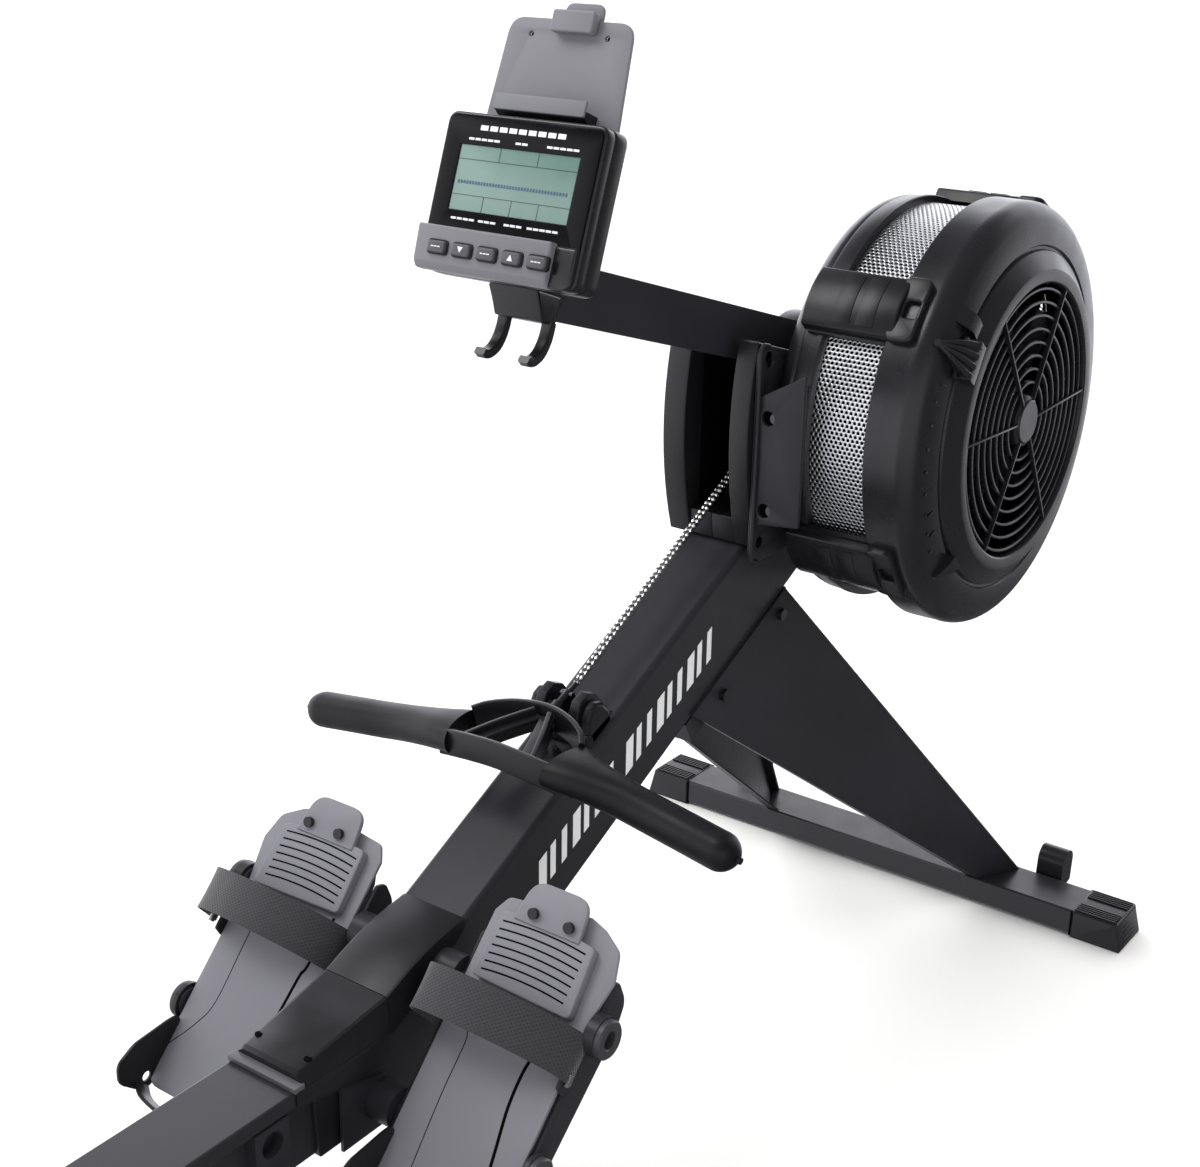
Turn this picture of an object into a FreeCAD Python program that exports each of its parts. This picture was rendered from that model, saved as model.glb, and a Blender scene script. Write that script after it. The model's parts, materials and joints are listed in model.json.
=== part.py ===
"""Air rowing machine: a steel beam and rail, a fan with a chain drive, a sliding seat and foot rests.

Millimetres, +Z up. +X points to the fan, +Y to the rower's left. The origin is on the floor,
under the middle of the machine's box. Each function below makes one sub-part, and the table at the
end writes each one to its own STEP file.
"""
import FreeCAD, Part

import math
import os

V = FreeCAD.Vector

# --- Driving dimensions ---------------------------------------------------------------------
HALF_LENGTH = 1180.0

# Sloping main beam: a steel tube whose top face passes through BEAM_POINT.
BEAM_ANGLE = 26.95
BEAM_POINT = (625.9, 502.5)
BEAM_WIDTH = 70.8
BEAM_DEPTH = 99.7
BEAM_WALL = 3.0
BEAM_FRONT = 235.0
BEAM_REAR_X = 120.0
BEAM_FLOOR_Z = 181.0

# Floor bars, front and rear.
BAR_X = 1115.0
BAR_HALF = 30.3
BAR_TOP = 33.5
BAR_LIFT = 3.0
BAR_REACH = 328.0
CAP_START = 267.0
REAR_REACH = 250.0
REAR_BAR_X = -HALF_LENGTH + BAR_HALF + 0.7

# Seat rail.
RAIL_TOP = 267.0
RAIL_WIDTH = 71.6
RAIL_LIP = 14.5
RAIL_REAR = -1155.0
RAIL_FRONT = 118.0
SPINE_WIDTH = 52.0
SPINE_BOTTOM = 190.0

# Legs: corners of the outer face, on the left-hand side.
LEG_TOP_FRONT = (776, 39, 472)
LEG_TOP_REAR = (610, 39, 390)
LEG_FOOT_FRONT = (1140, 176, BAR_TOP)
LEG_FOOT_REAR = (1087, 147, BAR_TOP)
LEG_SHEET = 3.0
LEG_FLANGE = 16.0

# Fan, on an axle along Y.
FAN_X = 905.0
FAN_Z = 652.5
AXLE_RADIUS = 8.0
BEARING_RADIUS = 16.0
RUNNING_GAP = 0.05
SHELL_RADIUS = 210.0
BAND_RADIUS = 197.0
BAND_RIGHT = -157.0
BAND_LEFT = -92.0
FACE_Y = -220.0
GRILLE_RADIUS = 131.0
GRILLE_PITCH = 13.0
HUB_RADIUS = 25.6
SPOKE_ANGLES = (2, 62, 124, 178, 238, 300)
CLIP_ANGLES = (142, 214, 286, 358, 61)
CLIP_LENGTH = 66.0
DAMPER_ANGLE = 148.5
VANE_COUNT = 16
BAND_HOLES = 48

# Chain drive.
CHAIN_ANGLE = 28.8
CHAIN_RADIUS = 39.6
CHAIN_HALF = 4.1
CHAIN_TOP_RUN = 470.0
SPROCKET_TEETH = 24
IDLER_U = -400.0
IDLER_W = -55.0
IDLER_RADIUS = 20.0

# Chain housing, round the front end of the beam.
HOUSING_Y = (-46.0, 50.0)
HOUSING_NOSE = 72.0
HOUSING_CREST = (686.0, 744.5)
HOUSING_SADDLE = (775.0, 716.8)
HOUSING_NECK_ANGLE = 114.5
SLOT_HALF = 25.0
SLOT_BOTTOM = 567.0

# Foot rests: a plane sloping up to the fan, with its top edge at FOOT_TOP.
FOOT_ANGLE = 46.7
FOOT_TOP = (286.0, 348.0)
FOOT_INNER = 62.0
FOOT_OUTER = 188.0
FOOT_LENGTH = 247.0
FOOT_RODS = (-69.5, -185.8)
ROD_DEPTH = -8.0
ROD_RADIUS = 6.0
BOSS_RADIUS = 17.5

# Seat, drawn at its resting place on the rail.
SEAT_X = -620.0
ROLLER_RADIUS = 14.0
SEAT_TOP = 366.0

# Handle.
GRIP_RADIUS = 16.5
GRIP_LINE = ((377, 78, 427), (379, 148, 416), (375, 221.5, 407))
YOKE_Z = (421.0, 446.0)

# Monitor: drawn flat behind its screen, then pitched and moved to SCREEN_CENTRE.
SCREEN_CENTRE = (380.7, 918.7)
SCREEN_PITCH = 19.5
ARM_FRONT = (846.0, 702.5)
ARM_HEIGHT = 49.0
ARM_HALF = 10.0
TILT_PIVOT = (58.0, -70.4)
PIN_RADIUS = 6.0
CASE_DEPTH = 30.0
CASE_HALF = 79.5
CASE_TOP = 53.0
CASE_BOTTOM = -76.0
PANEL_TOP = -40.0
PANEL_Y = (-56.0, 74.0)
BUTTON_PITCH = 25.2
BUTTON_ROW = -58.0
BUTTON_SHIFT = 2.7
PLATE_BOTTOM = -30.0
PLATE_TOP = 138.0
CLAMP_Y = -7.0

# Transport wheels, in brackets on the front bar.
WHEEL_CENTRE = (1163.0, 20.0)
WHEEL_RADIUS = 15.0
WHEEL_Y = 210.0


# --- Shape helpers --------------------------------------------------------------------------
def box(x, y, z):
    """A block from three (low, high) pairs."""
    return Part.makeBox(x[1] - x[0], y[1] - y[0], z[1] - z[0], V(x[0], y[0], z[0]))


def rod(radius, start, end):
    """A round bar between two points."""
    start, end = V(*start), V(*end)
    return Part.makeCylinder(radius, start.distanceToPoint(end), start, end - start)


def across(radius, centre, y):
    """A round bar along Y, about (x, z), between two y values."""
    return rod(radius, (centre[0], y[0], centre[1]), (centre[0], y[1], centre[1]))


def ring(outer, inner, centre, y):
    """A tube along Y."""
    return across(outer, centre, y).cut(across(inner, centre, (y[0] - 1, y[1] + 1)))


def profile(points, y):
    """A side outline of (x, z) corners, extruded between two y values."""
    corners = [V(x, y[0], z) for x, z in points]
    face = Part.Face(Part.makePolygon(corners + corners[:1]))
    return face.extrude(V(0, y[1] - y[0], 0))


def rounded(shape, radius, direction):
    """The shape with its straight edges along a direction rounded off."""
    edges = []
    for edge in shape.Edges:
        if isinstance(edge.Curve, Part.Line) and abs(edge.Curve.Direction.dot(V(*direction))) > 0.999:
            edges.append(edge)
    return shape.makeFillet(radius, edges)


def joined(shapes):
    """One solid from touching or overlapping pieces."""
    return shapes[0].multiFuse(shapes[1:]).removeSplitter()


def mirrored(shape):
    """The same piece on the other side of the machine."""
    return shape.mirror(V(0, 0, 0), V(0, 1, 0))


def pitched(shape, degrees, place):
    """A shape drawn level at the origin, pitched nose-up and moved to (x, z)."""
    placed = shape.copy()
    placed.rotate(V(0, 0, 0), V(0, 1, 0), -degrees)
    placed.translate(V(place[0], 0, place[1]))
    return placed


def on_beam(shape):
    """From the beam's own axes (along, across, above its top face) to the machine's."""
    return pitched(shape, BEAM_ANGLE, BEAM_POINT)


def on_foot(shape):
    """From the foot plane's axes (up the slope, across, above the plane) to the machine's."""
    return pitched(shape, FOOT_ANGLE, FOOT_TOP)


def on_monitor(shape):
    """From the screen's axes (behind it, across, up its face) to the machine's."""
    return pitched(shape, -SCREEN_PITCH, SCREEN_CENTRE)


def turned(points):
    """A ring about the fan's axis, from (radius, y) corners."""
    corners = [V(FAN_X + radius, y, FAN_Z) for radius, y in points]
    face = Part.Face(Part.makePolygon(corners + corners[:1]))
    return face.revolve(V(FAN_X, 0, FAN_Z), V(0, 1, 0), 360)


def about_fan(shape, degrees):
    """A shape drawn on the +X side of the fan's axis, turned up towards +Z."""
    placed = shape.copy()
    placed.rotate(V(FAN_X, 0, FAN_Z), V(0, 1, 0), -degrees)
    return placed


def turned_point(along, above, degrees, place):
    """The machine's (x, z) of a point given in axes pitched nose-up about a place."""
    slope = math.radians(degrees)
    x = place[0] + along * math.cos(slope) - above * math.sin(slope)
    z = place[1] + along * math.sin(slope) + above * math.cos(slope)
    return x, z


def beam_point(along, above):
    return turned_point(along, above, BEAM_ANGLE, BEAM_POINT)


def foot_rod_centre(along):
    return turned_point(along, ROD_DEPTH, FOOT_ANGLE, FOOT_TOP)


def arm_rear():
    return turned_point(TILT_PIVOT[0], TILT_PIVOT[1], -SCREEN_PITCH, SCREEN_CENTRE)


# --- Frame ----------------------------------------------------------------------------------
def main_beam():
    half = BEAM_WIDTH / 2
    outer = rounded(box((-620, BEAM_FRONT), (-half, half), (-BEAM_DEPTH, 0)), 6, (1, 0, 0))
    inner_half = half - BEAM_WALL
    inner = box((-640, BEAM_FRONT + 10), (-inner_half, inner_half), (-BEAM_DEPTH + BEAM_WALL, -BEAM_WALL))
    mount = box((-75, 125), (-half, half), (-BEAM_DEPTH - 24, -BEAM_DEPTH + 1))
    beam = on_beam(joined([outer.cut(inner), mount]))
    beam = beam.common(box((BEAM_REAR_X, BAR_X), (-half, half), (BEAM_FLOOR_Z, FAN_Z)))
    for along in FOOT_RODS:
        beam = beam.cut(across(ROD_RADIUS, foot_rod_centre(along), (-half - 1, half + 1)))
    return beam


def sheet_between(top, foot, inward):
    """A thin ruled panel between two edges, thickened inwards."""
    sections = []
    for start, end in (top, foot):
        corners = [V(*start), V(*end), V(*end) + inward, V(*start) + inward]
        sections.append(Part.makePolygon(corners + corners[:1]))
    return Part.makeLoft(sections, True, True)


def left_leg():
    panel = sheet_between(
        (LEG_TOP_FRONT, LEG_TOP_REAR), (LEG_FOOT_FRONT, LEG_FOOT_REAR), V(0, -LEG_SHEET, 0))
    pieces = [panel]
    edges = ((LEG_TOP_FRONT, LEG_FOOT_FRONT, -LEG_SHEET), (LEG_TOP_REAR, LEG_FOOT_REAR, LEG_SHEET))
    for top, foot, step in edges:
        flange = []
        for corner, reach in ((top, LEG_SHEET), (foot, LEG_FLANGE)):
            x, y, z = corner
            flange.append(((x, y, z), (x, y - reach, z)))
        pieces.append(sheet_between(flange[0], flange[1], V(step, 0, 0)))
    return joined(pieces)


def floor_bar(centre_x, reach):
    outer = box((centre_x - BAR_HALF, centre_x + BAR_HALF), (-reach + 8, reach - 8), (BAR_LIFT, BAR_TOP))
    outer = rounded(outer, 3, (0, 1, 0))
    wall = BEAM_WALL
    inner = box(
        (centre_x - BAR_HALF + wall, centre_x + BAR_HALF - wall), (-reach, reach),
        (BAR_LIFT + wall, BAR_TOP - wall))
    return outer.cut(inner)


def bar_cap(centre_x, reach):
    """A plastic boot round one end of a floor bar. Its end face leans out towards the floor."""
    start = reach - (BAR_REACH - CAP_START)
    corners = [V(0, start, 0), V(0, reach, 0), V(0, reach - 9, BAR_TOP + 0.7), V(0, start, BAR_TOP + 0.7)]
    face = Part.Face(Part.makePolygon(corners + corners[:1]))
    half = BAR_HALF + 0.7
    boot = face.extrude(V(2 * half, 0, 0))
    boot.translate(V(centre_x - half, 0, 0))
    inside = box((centre_x - BAR_HALF, centre_x + BAR_HALF), (start - 1, reach - 8), (BAR_LIFT, BAR_TOP))
    return boot.cut(inside)


def front_bar():
    return floor_bar(BAR_X, BAR_REACH)


def front_bar_caps():
    cap = bar_cap(BAR_X, BAR_REACH)
    return Part.makeCompound([cap, mirrored(cap)])


def rear_bar():
    return floor_bar(REAR_BAR_X, REAR_REACH)


def rear_bar_caps():
    cap = bar_cap(REAR_BAR_X, REAR_REACH)
    return Part.makeCompound([cap, mirrored(cap)])


def rear_post():
    """A steel tube from under the rail's rear end down to the rear bar."""
    outline = [
        (-1010, SPINE_BOTTOM), (-1070, SPINE_BOTTOM), (REAR_BAR_X - 22, BAR_TOP), (REAR_BAR_X + 28, BAR_TOP)]
    return profile(outline, (-25, 25))


def wheel_bracket():
    """A rounded housing on the front bar that holds one transport wheel."""
    low, high = WHEEL_CENTRE, (HALF_LENGTH - 15, 48)
    y = (WHEEL_Y - 16, WHEEL_Y + 16)
    near = [(low[0] - 15, low[1] - 4), (low[0] + 15, low[1])]
    far = [(high[0] + 15, high[1]), (high[0] - 15, high[1])]
    lean = profile(near + far, y)
    foot = box((BAR_X + BAR_HALF, low[0]), y, (10, BAR_TOP - 3))
    body = joined([lean, across(15, high, y), foot])
    pocket = across(WHEEL_RADIUS + 1, WHEEL_CENTRE, (WHEEL_Y - 10, WHEEL_Y + 10))
    axle_hole = across(3 + RUNNING_GAP, WHEEL_CENTRE, (y[0] - 1, y[1] + 1))
    return body.cut(pocket).cut(axle_hole)


def wheel_brackets():
    return Part.makeCompound([wheel_bracket(), mirrored(wheel_bracket())])


def transport_wheel():
    tread = across(WHEEL_RADIUS, WHEEL_CENTRE, (WHEEL_Y - 9, WHEEL_Y + 9))
    axle = across(3, WHEEL_CENTRE, (WHEEL_Y - 15, WHEEL_Y + 15))
    return joined([tread, axle])


# --- Rail -----------------------------------------------------------------------------------
def rail():
    half = RAIL_WIDTH / 2
    bar = box((RAIL_REAR, RAIL_FRONT), (-half, half), (RAIL_TOP - RAIL_LIP, RAIL_TOP))
    return rounded(bar, 2.5, (1, 0, 0))


def rail_spine():
    half = SPINE_WIDTH / 2
    outer = box((RAIL_REAR, RAIL_FRONT), (-half, half), (SPINE_BOTTOM, RAIL_TOP - RAIL_LIP))
    wall = BEAM_WALL
    inner = box(
        (RAIL_REAR - 1, RAIL_FRONT + 1), (-half + wall, half - wall),
        (SPINE_BOTTOM + wall, RAIL_TOP - RAIL_LIP - wall))
    return outer.cut(inner)


def rail_end_cap():
    """A plastic plug on the rail's rear end, with the rear seat stop on top."""
    half = RAIL_WIDTH / 2 + 1
    plate = box((RAIL_REAR - 8, RAIL_REAR), (-half, half), (SPINE_BOTTOM - 1, RAIL_TOP + 1))
    stop = box((RAIL_REAR - 8, RAIL_REAR + 12), (-14, 14), (RAIL_TOP, RAIL_TOP + 14))
    return joined([rounded(plate, 4, (1, 0, 0)), stop])


def rail_tab():
    """A square steel lug with a round hole, on the right of the spine."""
    x = 43.0
    y = (-RAIL_WIDTH / 2 - 1, -SPINE_WIDTH / 2)
    block = box((x - 18, x + 18), y, (218, RAIL_TOP - RAIL_LIP))
    return block.cut(across(11, (x, 236), (y[0] - 1, y[1] + 1)))


def upper_cover():
    """An arched plastic cover on the beam, just above the foot rests."""
    half = BEAM_WIDTH / 2
    outline = [(273, 323.8), (246, 318), (227, 310), (176.5, 297), (176.5, 274.6)]
    return profile(outline, (-half, half))


def lower_cover():
    """The plastic cover where the beam meets the rail, with two screw holes."""
    half = RAIL_WIDTH / 2 + 0.6
    outline = [(71, RAIL_TOP), (71, 271), (76, 278), (176, 297), (176, 274.4), (161.8, RAIL_TOP)]
    cover = profile(outline, (-half, half))
    for y in (-27, 27):
        cover = cover.cut(rod(3.5, (93, y, 260), (93, y, 300)))
    return cover


# --- Foot rests -----------------------------------------------------------------------------
def foot_tubes():
    """Two rods through the beam, with collars beside it and flanged bosses at their ends."""
    pieces = []
    for along in FOOT_RODS:
        centre = foot_rod_centre(along)
        reach = 202 if along == FOOT_RODS[0] else 196
        bar = [across(ROD_RADIUS, centre, (-reach, reach))]
        for side in (-1, 1):
            collar = sorted((side * BEAM_WIDTH / 2, side * (FOOT_INNER - 4)))
            bar.append(across(BOSS_RADIUS, centre, collar))
            boss = sorted((side * (FOOT_OUTER + 4), side * reach))
            bar.append(across(BOSS_RADIUS, centre, boss))
        pieces.append(joined(bar))
    return Part.makeCompound(pieces)


def foot_base():
    """The fixed part of a foot rest: a plate between two side walls, on the right."""
    plate = box((-FOOT_LENGTH, 0), (-FOOT_OUTER, -FOOT_INNER), (-5, -2.4))
    outline = [
        (-FOOT_LENGTH + 6, -22), (-40, -34), (-4, -14), (0, 6), (-FOOT_LENGTH + 40, 6), (-FOOT_LENGTH, -4)]
    outer_wall = profile(outline, (-FOOT_OUTER - 4, -FOOT_OUTER))
    inner_outline = [(-FOOT_LENGTH + 6, -22), (-40, -34), (-4, -14), (0, 0), (-FOOT_LENGTH, 0)]
    inner_wall = profile(inner_outline, (-FOOT_INNER, -FOOT_INNER + 4))
    ribs = [box((-122, -74), (-FOOT_OUTER - 4, -FOOT_OUTER), (0, 15))]
    for along in FOOT_RODS:
        ribs.append(box((along - 12, along + 12), (-FOOT_OUTER, -FOOT_INNER), (-18, -4)))
    base = joined([plate, outer_wall, inner_wall] + ribs)
    for along in FOOT_RODS:
        base = base.cut(across(ROD_RADIUS, (along, ROD_DEPTH), (-FOOT_OUTER - 5, -FOOT_INNER + 5)))
    return on_foot(base)


def foot_plate():
    """The sliding part of a foot rest: heel sheet and cup, ribbed toe pad and pull tab with pegs."""
    y = (-FOOT_OUTER + 4, -FOOT_INNER - 2)
    end = -FOOT_LENGTH
    sheet = profile([(-4, 0), (-4, -2), (end, -2), (-284, 26), (-282, 28), (end + 1, 0)], y)
    side = [(end, -2), (-284, 26), (-283, 40), (end + 40, 0)]
    wings = [profile(side, (y[0], y[0] + 3)), profile(side, (y[1] - 3, y[1]))]
    toe_pad = rounded(box((-67, -8), (-172, -80), (0, 11)), 4, (0, 0, 1))
    tab = profile([(-8, 0), (-8, 10), (0, 11), (22, 31), (25, 28), (2, 7), (-3, 0)], (-154, -92))
    pegs = [rod(4.5, (-4, y_peg, 8), (-10, y_peg, 17)) for y_peg in (-141, -105)]
    return on_foot(joined([sheet, toe_pad, tab] + wings + pegs))


def strap_arch(grow, x):
    """The arch's side of the strap, as a closed bow between its two ends."""
    low = V(x[0], -216 - grow, 11)
    mid = V(x[0], -136, 40 + grow)
    high = V(x[0], -FOOT_INNER + 4 + grow, 0)
    bow = Part.Arc(high, mid, low).toShape()
    chord = Part.LineSegment(low, high).toShape()
    return Part.Face(Part.Wire([bow, chord])).extrude(V(x[1] - x[0], 0, 0))


def foot_strap():
    """The webbing strap over one foot rest, on the right, with its return to the outer wall."""
    arch = strap_arch(0, (-118, -78)).cut(strap_arch(-3, (-119, -77)))
    back = box((-118, -78), (-215.6, -FOOT_OUTER - 4), (9, 12))
    return on_foot(joined([arch, back])).cut(foot_base())


# --- Fan ------------------------------------------------------------------------------------
def fan_shell_left():
    return turned([
        (BEARING_RADIUS + 8, -50.6), (182, -50.6), (203, -68), (203, BAND_LEFT),
        (BAND_RADIUS + 0.3, BAND_LEFT),
        (BAND_RADIUS + 0.3, -86), (199, -84), (199, -70), (180, -54.6), (BEARING_RADIUS + 8, -54.6)])


def grille():
    """The moulded guard over the air intake: rings on six spokes round a hub."""
    y = (FACE_Y, FACE_Y + 5)
    centre = (FAN_X, FAN_Z)
    pieces = [across(HUB_RADIUS, centre, (FACE_Y - 4, -198))]
    radius = HUB_RADIUS + GRILLE_PITCH
    while radius < GRILLE_RADIUS:
        pieces.append(ring(radius + 2, radius - 2, centre, y))
        radius += GRILLE_PITCH
    for angle in SPOKE_ANGLES:
        spoke = box((FAN_X + HUB_RADIUS - 2, FAN_X + GRILLE_RADIUS + 3), y, (FAN_Z - 2.5, FAN_Z + 2.5))
        pieces.append(about_fan(spoke, angle))
    return joined(pieces).cut(across(BEARING_RADIUS, centre, (-214, -197)))


def fan_shell_right():
    outer = [(SHELL_RADIUS, BAND_RIGHT), (SHELL_RADIUS, -190), (203, -206), (190, -216), (178, -219),
             (175, -222), (168, -234), (150, -235), (138, -228), (GRILLE_RADIUS, -221)]
    inner = [(GRILLE_RADIUS, -214), (137, -222), (150, -231), (165, -230), (171, -219), (178, -215),
             (188, -212), (200, -203), (206, -189), (206, -170), (BAND_RADIUS + 0.3, -165),
             (BAND_RADIUS + 0.3, BAND_RIGHT)]
    pieces = [turned(outer + inner), grille()]
    for angle in (140, 220):
        stop = box((FAN_X + 184, FAN_X + 196), (-226, -213.5), (FAN_Z - 5, FAN_Z + 5))
        pieces.append(about_fan(stop, angle))
    return joined(pieces)


def perforated_band():
    """The outlet screen between the two shells."""
    band = ring(BAND_RADIUS, BAND_RADIUS - 1.5, (FAN_X, FAN_Z), (BAND_RIGHT - 4, BAND_LEFT + 4))
    holes = []
    for row, y in enumerate((-140, -124.5, -109)):
        for step in range(BAND_HOLES):
            hole = rod(3, (FAN_X + BAND_RADIUS - 5, y, FAN_Z), (FAN_X + BAND_RADIUS + 5, y, FAN_Z))
            holes.append(about_fan(hole, (step + row / 2) * 360 / BAND_HOLES))
    return band.cut(Part.makeCompound(holes))


def shell_clips():
    """Five moulded clips that hold the two shells together across the band."""
    level = (FAN_Z - CLIP_LENGTH / 2, FAN_Z + CLIP_LENGTH / 2)
    base = box((FAN_X + BAND_RADIUS + 0.5, FAN_X + 222), (-182, -70), level)
    base = rounded(base, 8, (0, 1, 0))
    base = base.cut(across(SHELL_RADIUS + 0.3, (FAN_X, FAN_Z), (-200, BAND_RIGHT)))
    base = base.cut(across(203.3, (FAN_X, FAN_Z), (BAND_LEFT, -60)))
    return Part.makeCompound([about_fan(base, angle) for angle in CLIP_ANGLES])


def fan_axle():
    return across(AXLE_RADIUS, (FAN_X, FAN_Z), (-212, 44))


def flywheel():
    """The fan wheel: a disc with a heavy rim and straight vanes."""
    centre = (FAN_X, FAN_Z)
    pieces = [ring(165, AXLE_RADIUS, centre, (-134, -130)), ring(30, AXLE_RADIUS, centre, (-160, -105))]
    for step in range(VANE_COUNT):
        vane = box((FAN_X + 75, FAN_X + 184), (-186, -98), (FAN_Z - 1.5, FAN_Z + 1.5))
        pieces.append(about_fan(vane, step * 360 / VANE_COUNT))
    return joined(pieces)


def fan_bearings():
    gap = AXLE_RADIUS + RUNNING_GAP
    spans = ((28, 40), (-46, -34), (-212, -200))
    return Part.makeCompound([ring(BEARING_RADIUS, gap, (FAN_X, FAN_Z), span) for span in spans])


def damper_lever():
    """A thumb lever on a curved shoe that slides round the raised ring of the right shell."""
    shoe = ring(180, 176, (FAN_X, FAN_Z), (-227, -222.5))
    wedge = box((FAN_X + 160, FAN_X + 190), (-230, -215), (FAN_Z - 26, FAN_Z + 26))
    stem = box((FAN_X + 177, FAN_X + 186), (-232, -222.5), (FAN_Z - 5, FAN_Z + 5))
    wing = [(177, -24), (184, -22), (205, -4), (205, 4), (184, 22), (177, 24)]
    wing = profile([(FAN_X + reach, FAN_Z + along) for reach, along in wing], (-243, -227))
    return about_fan(joined([shoe.common(wedge), stem, wing]), DAMPER_ANGLE)


# --- Chain drive ----------------------------------------------------------------------------
def housing_outline(y):
    """The chain housing's side: a curved back, a falling top and a round nose about the fan's axis."""
    corners = ((694, 541), (676, 644), HOUSING_CREST, HOUSING_SADDLE)
    heel, back, crest, saddle = [V(x, y, z) for x, z in corners]
    lean = math.radians(HOUSING_NECK_ANGLE)
    neck = V(FAN_X + HOUSING_NOSE * math.cos(lean), y, FAN_Z + HOUSING_NOSE * math.sin(lean))
    nose = V(FAN_X + HOUSING_NOSE, y, FAN_Z)
    under = V(FAN_X, y, FAN_Z - HOUSING_NOSE)
    return Part.Wire([
        Part.Arc(heel, back, crest).toShape(),
        Part.LineSegment(crest, saddle).toShape(),
        Part.LineSegment(saddle, neck).toShape(),
        Part.Arc(neck, nose, under).toShape(),
        Part.LineSegment(under, heel).toShape()])


def chain_housing():
    low, high = HOUSING_Y
    body = Part.Face(housing_outline(low)).extrude(V(0, high - low, 0))
    centre = (FAN_X, FAN_Z)
    body = body.cut(box((600, 890), (-SLOT_HALF, SLOT_HALF), (SLOT_BOTTOM, 800)))
    body = body.cut(across(60, centre, (-SLOT_HALF, SLOT_HALF)))
    half = BEAM_WIDTH / 2 + 0.4
    body = body.cut(on_beam(box((-300, 280), (-half, half), (-BEAM_DEPTH - 5, 0.3))))
    body = body.cut(across(BEARING_RADIUS, centre, (low - 1, 44.5)))
    return body.cut(across(PIN_RADIUS + 2, ARM_FRONT, (low - 1, high + 1)))


def fan_bracket():
    """The steel plate beside the housing, and the plate across its back edge that meets the fan."""
    outline = [(684, 525), (868, 525), (868, 712), HOUSING_SADDLE, (684, HOUSING_CREST[1])]
    side = rounded(profile(outline, (-50, HOUSING_Y[0])), 8, (0, 1, 0))
    for x, z in ((700, 728), (700, 545)):
        side = side.cut(across(5.5, (x, z), (-51, -45)))
    side = side.cut(across(BEARING_RADIUS, (FAN_X, FAN_Z), (-51, -45)))
    side = side.cut(across(PIN_RADIUS + 2, ARM_FRONT, (-51, -45)))
    corners = [V(690, -46, 566), V(690, -98, 572), V(690, -98, 720), V(690, -46, 690)]
    across_back = Part.Face(Part.makePolygon(corners + corners[:1])).extrude(V(4, 0, 0))
    for z in (582, 673):
        across_back = across_back.cut(rod(5.5, (680, -66, z), (700, -66, z)))
    return joined([side, across_back])


def chain_line(height):
    """A point on the top run, by its distance back from the sprocket's tangent point."""
    slope = math.radians(CHAIN_ANGLE)
    x = FAN_X - CHAIN_RADIUS * math.sin(slope) - height * math.cos(slope)
    z = FAN_Z + CHAIN_RADIUS * math.cos(slope) - height * math.sin(slope)
    return x, z


def chain():
    """The chain's envelope: the top run from the handle, the wrap and the run into the beam."""
    half = CHAIN_HALF
    top_run = box((-CHAIN_TOP_RUN, 0), (-4.5, 4.5), (CHAIN_RADIUS - half, CHAIN_RADIUS + half))
    top_run = pitched(top_run, CHAIN_ANGLE, (FAN_X, FAN_Z))
    low_run = box((-150, 0), (-4.5, 4.5), (-CHAIN_RADIUS - half, -CHAIN_RADIUS + half))
    low_run = pitched(low_run, BEAM_ANGLE, (FAN_X, FAN_Z))
    wrap = ring(CHAIN_RADIUS + half, CHAIN_RADIUS - half, (FAN_X, FAN_Z), (-4.5, 4.5))
    front = pitched(box((0, 90), (-10, 10), (-90, 90)), CHAIN_ANGLE, (FAN_X, FAN_Z))
    return joined([top_run, wrap.common(front), low_run])


def chain_sprocket():
    centre = (FAN_X, FAN_Z)
    outer = CHAIN_RADIUS - CHAIN_HALF - 0.4
    body = joined([across(outer, centre, (-2, 2)), across(20, centre, (-14, 14))])
    for step in range(SPROCKET_TEETH):
        gap = across(2.4, (FAN_X + outer + 0.6, FAN_Z), (-3, 3))
        body = body.cut(about_fan(gap, step * 360 / SPROCKET_TEETH))
    return body.cut(across(AXLE_RADIUS + RUNNING_GAP, centre, (-15, 15)))


def idler_pulley():
    centre = beam_point(IDLER_U, IDLER_W)
    wheel = joined([across(IDLER_RADIUS - 4.5, centre, (-9, 9)),
                    across(IDLER_RADIUS + 2, centre, (-9, -5.5)),
                    across(IDLER_RADIUS + 2, centre, (5.5, 9))])
    return wheel.cut(across(PIN_RADIUS + RUNNING_GAP, centre, (-10, 10)))


def return_cord():
    """The elastic cord inside the beam: back round the idler and forward to its anchor."""
    radius = 4.0
    runs = []
    for above in (IDLER_W + IDLER_RADIUS, IDLER_W - IDLER_RADIUS):
        x_near, z_near = beam_point(IDLER_U, above)
        x_far, z_far = beam_point(150, above)
        runs.append(rod(radius, (x_near, 0, z_near), (x_far, 0, z_far)))
    bend = Part.makeTorus(IDLER_RADIUS, radius, V(0, 0, 0), V(0, 1, 0))
    bend = bend.common(box((-40, 0), (-10, 10), (-40, 40)))
    bend = pitched(bend, BEAM_ANGLE, beam_point(IDLER_U, IDLER_W))
    return joined(runs + [bend])


def handle_cradle():
    """The plastic rest on the beam: a block with two prongs and a hollow for the chain's end."""
    block = box((-196, -158), (-35, 35), (0, 16))
    prongs = [box((-184, -166), (y, y + 11), (15, 50)) for y in (-31, 20)]
    hollow = rod(15, (-230, 0, 24), (-140, 0, 24))
    return on_beam(joined([block] + prongs).cut(hollow))


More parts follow.
